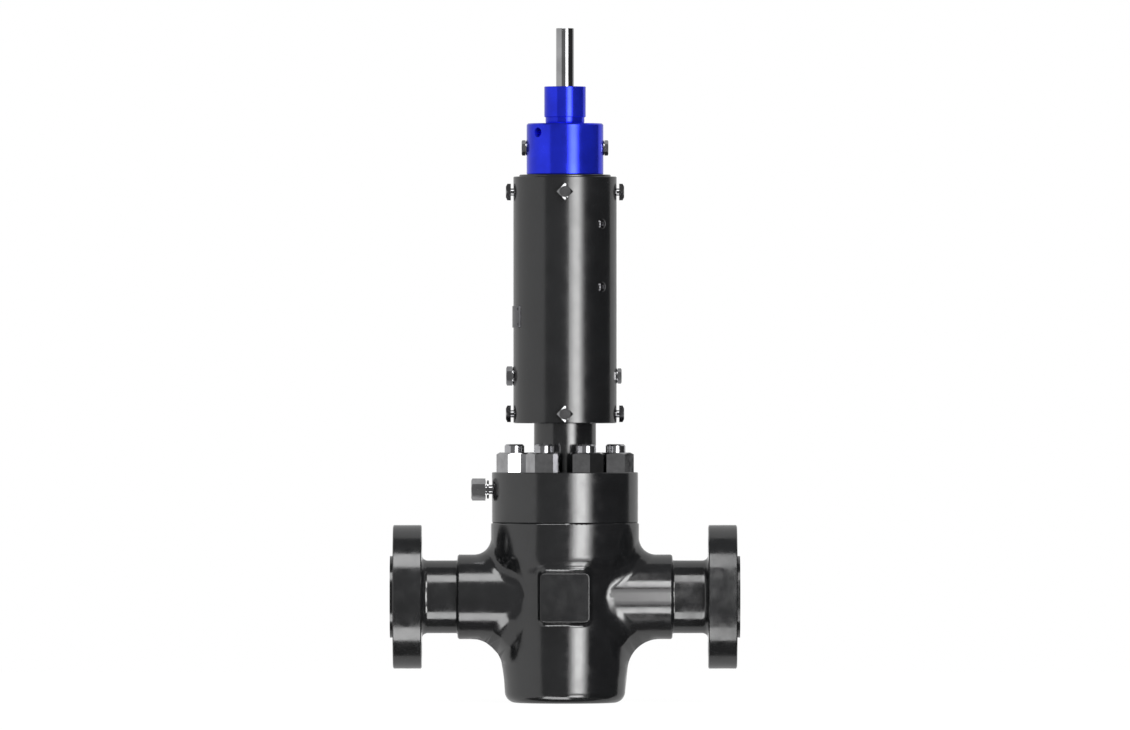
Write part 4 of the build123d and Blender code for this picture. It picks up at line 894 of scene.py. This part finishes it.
def white_share(tree, seen, mirrored):
    """How much plain white a ray meets: one share for the camera, another for metal and glass."""
    rays = tree.nodes.new("ShaderNodeLightPath")
    total = None
    kinds = (("Is Camera Ray", seen), ("Is Glossy Ray", mirrored), ("Is Transmission Ray", mirrored))
    for output, part in kinds:
        scaled = tree.nodes.new("ShaderNodeMath")
        scaled.operation = "MULTIPLY"
        scaled.inputs[1].default_value = part
        tree.links.new(rays.outputs[output], scaled.inputs[0])
        if total:
            both = tree.nodes.new("ShaderNodeMath")
            both.operation = "MAXIMUM"
            tree.links.new(total, both.inputs[0])
            tree.links.new(scaled.outputs[0], both.inputs[1])
            total = both.outputs[0]
        else:
            total = scaled.outputs[0]
    return total


class GATEVALVE_OT_studio(bpy.types.Operator):
    """Set up the pale floor, the soft lights and the camera"""

    bl_idname = "gate_valve.studio"
    bl_label = "Studio"

    def execute(self, context):
        room = studio()
        self.floor(room)
        self.wall(room)
        self.world()
        for name, part, extent, place in WINDOW_CARDS:
            self.card(name, room.strip_strength * part, extent, place, (0.0, 0.0, place[2]))
        axis = port_axis()
        for level, side in (("high", 1), ("low", -1)):
            self.card(
                level + "_window", room.strip_strength * TWIN_WINDOW_SHARE, (1.9, 2.1),
                (1.65, -3.65, axis + side * 2.95), (0.0, 0.0, axis)
            )
            self.card(
                level + "_panel", room.top_strength, (2.28, 1.36),
                (-0.81, -1.58, axis + side * 2.8), (-0.81, -0.1, axis)
            )
            over = axis + side * CEILING_RISE
            self.card(level + "_ceiling", DIM_CARD, (6.0, 3.0), (0.0, 2.6, over), (0.0, 2.6, over + 1.0))
            back = axis + side * BACK_RISE
            self.card(level + "_back", DIM_CARD, (2.4, 2.8), (0.0, 4.2, back), (0.0, 0.0, back))
        self.camera()
        return {"FINISHED"}

    def floor(self, room):
        """A pale floor that the metal doesn't mirror: it shows the lower half of the studio instead."""
        clear_bench()
        bpy.ops.mesh.primitive_plane_add(size=room.floor_size, location=(0, 0, -0.0001))
        floor = bpy.context.object
        floor.name = "studio_floor"
        pale = bpy.data.materials.new("pale_floor")
        pale.use_nodes = True
        tree = pale.node_tree
        tree.nodes.clear()
        matt = tree.nodes.new("ShaderNodeBsdfDiffuse")
        matt.inputs["Color"].default_value = (FLOOR_GREY, FLOOR_GREY, FLOOR_GREY, 1.0)
        white = tree.nodes.new("ShaderNodeEmission")
        white.inputs["Strength"].default_value = FLOOR_GLOW
        blend = tree.nodes.new("ShaderNodeMixShader")
        sheet = tree.nodes.new("ShaderNodeOutputMaterial")
        tree.links.new(white_share(tree, room.floor_white, room.floor_mirror), blend.inputs["Fac"])
        tree.links.new(matt.outputs["BSDF"], blend.inputs[1])
        tree.links.new(white.outputs["Emission"], blend.inputs[2])
        tree.links.new(blend.outputs["Shader"], sheet.inputs["Surface"])
        floor.data.materials.append(pale)
        floor.visible_glossy = False

    def wall(self, room):
        """A dim round wall, open behind the valve, with a lighter left and a darker right."""
        clear_bench()
        bpy.ops.mesh.primitive_cylinder_add(
            vertices=WALL_STEPS, radius=room.wall_radius, depth=room.wall_height * 2,
            end_fill_type="TRIFAN", location=(0, 0, 0)
        )
        wall = settle(bpy.context.object)
        wall.name = "studio_wall"
        for name, strength, _ in WALL_SECTORS:
            wall.data.materials.append(glow(name, strength))
        wall.data.materials.append(glow("wall_ends", WALL_ENDS))
        take(wall)
        bpy.ops.object.mode_set(mode="EDIT")
        bpy.ops.mesh.select_mode(type="FACE")
        bpy.ops.object.mode_set(mode="OBJECT")
        for face in wall.data.polygons:
            azimuth = math.degrees(math.atan2(face.center.x, -face.center.y))
            upright_face = abs(face.normal.z) < 0.5
            passed = sum(azimuth > sector_end for _, _, sector_end in WALL_SECTORS)
            face.material_index = passed if upright_face else len(WALL_SECTORS)
            face.select = upright_face and abs(azimuth) > WALL_OPENING
        bpy.ops.object.mode_set(mode="EDIT")
        bpy.ops.mesh.delete(type="FACE")
        bpy.ops.mesh.select_mode(type="VERT")
        bpy.ops.object.mode_set(mode="OBJECT")
        wall.visible_camera = False
        wall.visible_shadow = False

    def world(self):
        """White for the camera, metal and glass, and dimmer as a light."""
        world = bpy.data.worlds.new("white_surround")
        bpy.context.scene.world = world
        world.use_nodes = True
        tree = world.node_tree
        tree.nodes.clear()
        blend = tree.nodes.new("ShaderNodeMixShader")
        for socket, strength in ((1, WORLD_LIGHT), (2, 1.0)):
            white = tree.nodes.new("ShaderNodeBackground")
            white.inputs["Color"].default_value = (1.0, 1.0, 1.0, 1.0)
            white.inputs["Strength"].default_value = strength
            tree.links.new(white.outputs["Background"], blend.inputs[socket])
        sky = tree.nodes.new("ShaderNodeOutputWorld")
        tree.links.new(white_share(tree, 1.0, 1.0), blend.inputs["Fac"])
        tree.links.new(blend.outputs["Shader"], sky.inputs["Surface"])

    def card(self, name, radiance, extent, place, target):
        """A shining card that the camera doesn't see, turned towards its target."""
        clear_bench()
        bpy.ops.mesh.primitive_plane_add(size=1.0, location=place)
        card = bpy.context.object
        card.name = name
        card.scale = (extent[0], extent[1], 1.0)
        card.rotation_euler = (Vector(target) - Vector(place)).to_track_quat("Z", "Y").to_euler()
        settle(card)
        card.data.materials.append(glow(name + "_glow", radiance, place[2] < 0))
        card.visible_camera = False
        card.visible_shadow = False

    def camera(self):
        """A long lens square on to the valve, as the photo shows hardly any perspective."""
        clear_bench()
        bpy.ops.object.camera_add(
            location=(0.0, -CAMERA_DISTANCE, CAMERA_HEIGHT), rotation=(math.pi / 2, 0.0, 0.0)
        )
        camera = bpy.context.object
        camera.name = "front_camera"
        camera.data.type = "PERSP"
        camera.data.lens = CAMERA_LENS
        camera.data.sensor_width = 36.0
        camera.data.clip_start = 0.5
        camera.data.clip_end = 200.0
        bpy.context.scene.camera = camera
        bpy.context.scene.view_settings.view_transform = "Standard"


OPERATORS = (
    GATEVALVE_OT_studio,
    GATEVALVE_OT_finishes,
    GATEVALVE_OT_inner_parts,
    GATEVALVE_OT_shells,
    GATEVALVE_OT_bonnet_bolting,
    GATEVALVE_OT_set_screws,
    GATEVALVE_OT_plugs,
    GATEVALVE_OT_grease_point,
    GATEVALVE_OT_button_screws,
    GATEVALVE_OT_plate,
    GATEVALVE_OT_indicator,
)


class GATEVALVE_PT_pieces(bpy.types.Panel):
    """Lists the pieces of the valve"""

    bl_label = "Gate Valve"
    bl_space_type = "VIEW_3D"
    bl_region_type = "UI"
    bl_category = "Gate Valve"

    def draw(self, context):
        for operator in OPERATORS:
            self.layout.operator(operator.bl_idname)
        for group in (sizes(), colours(), studio()):
            for name in group.__annotations__:
                self.layout.prop(group, name)


GROUPS = (
    ("gate_valve_sizes", GateValveSizes),
    ("gate_valve_colours", GateValveColours),
    ("gate_valve_studio", GateValveStudio),
)


def register():
    for name, group in GROUPS:
        bpy.utils.register_class(group)
        setattr(bpy.types.Scene, name, PointerProperty(type=group))
    for operator in OPERATORS:
        bpy.utils.register_class(operator)
    bpy.utils.register_class(GATEVALVE_PT_pieces)


def unregister():
    bpy.utils.unregister_class(GATEVALVE_PT_pieces)
    for operator in reversed(OPERATORS):
        bpy.utils.unregister_class(operator)
    for name, group in reversed(GROUPS):
        delattr(bpy.types.Scene, name)
        bpy.utils.unregister_class(group)


def main():
    register()
    for operator in OPERATORS:
        group, name = operator.bl_idname.split(".")
        getattr(getattr(bpy.ops, group), name)()


if __name__ == "__main__":
    main()
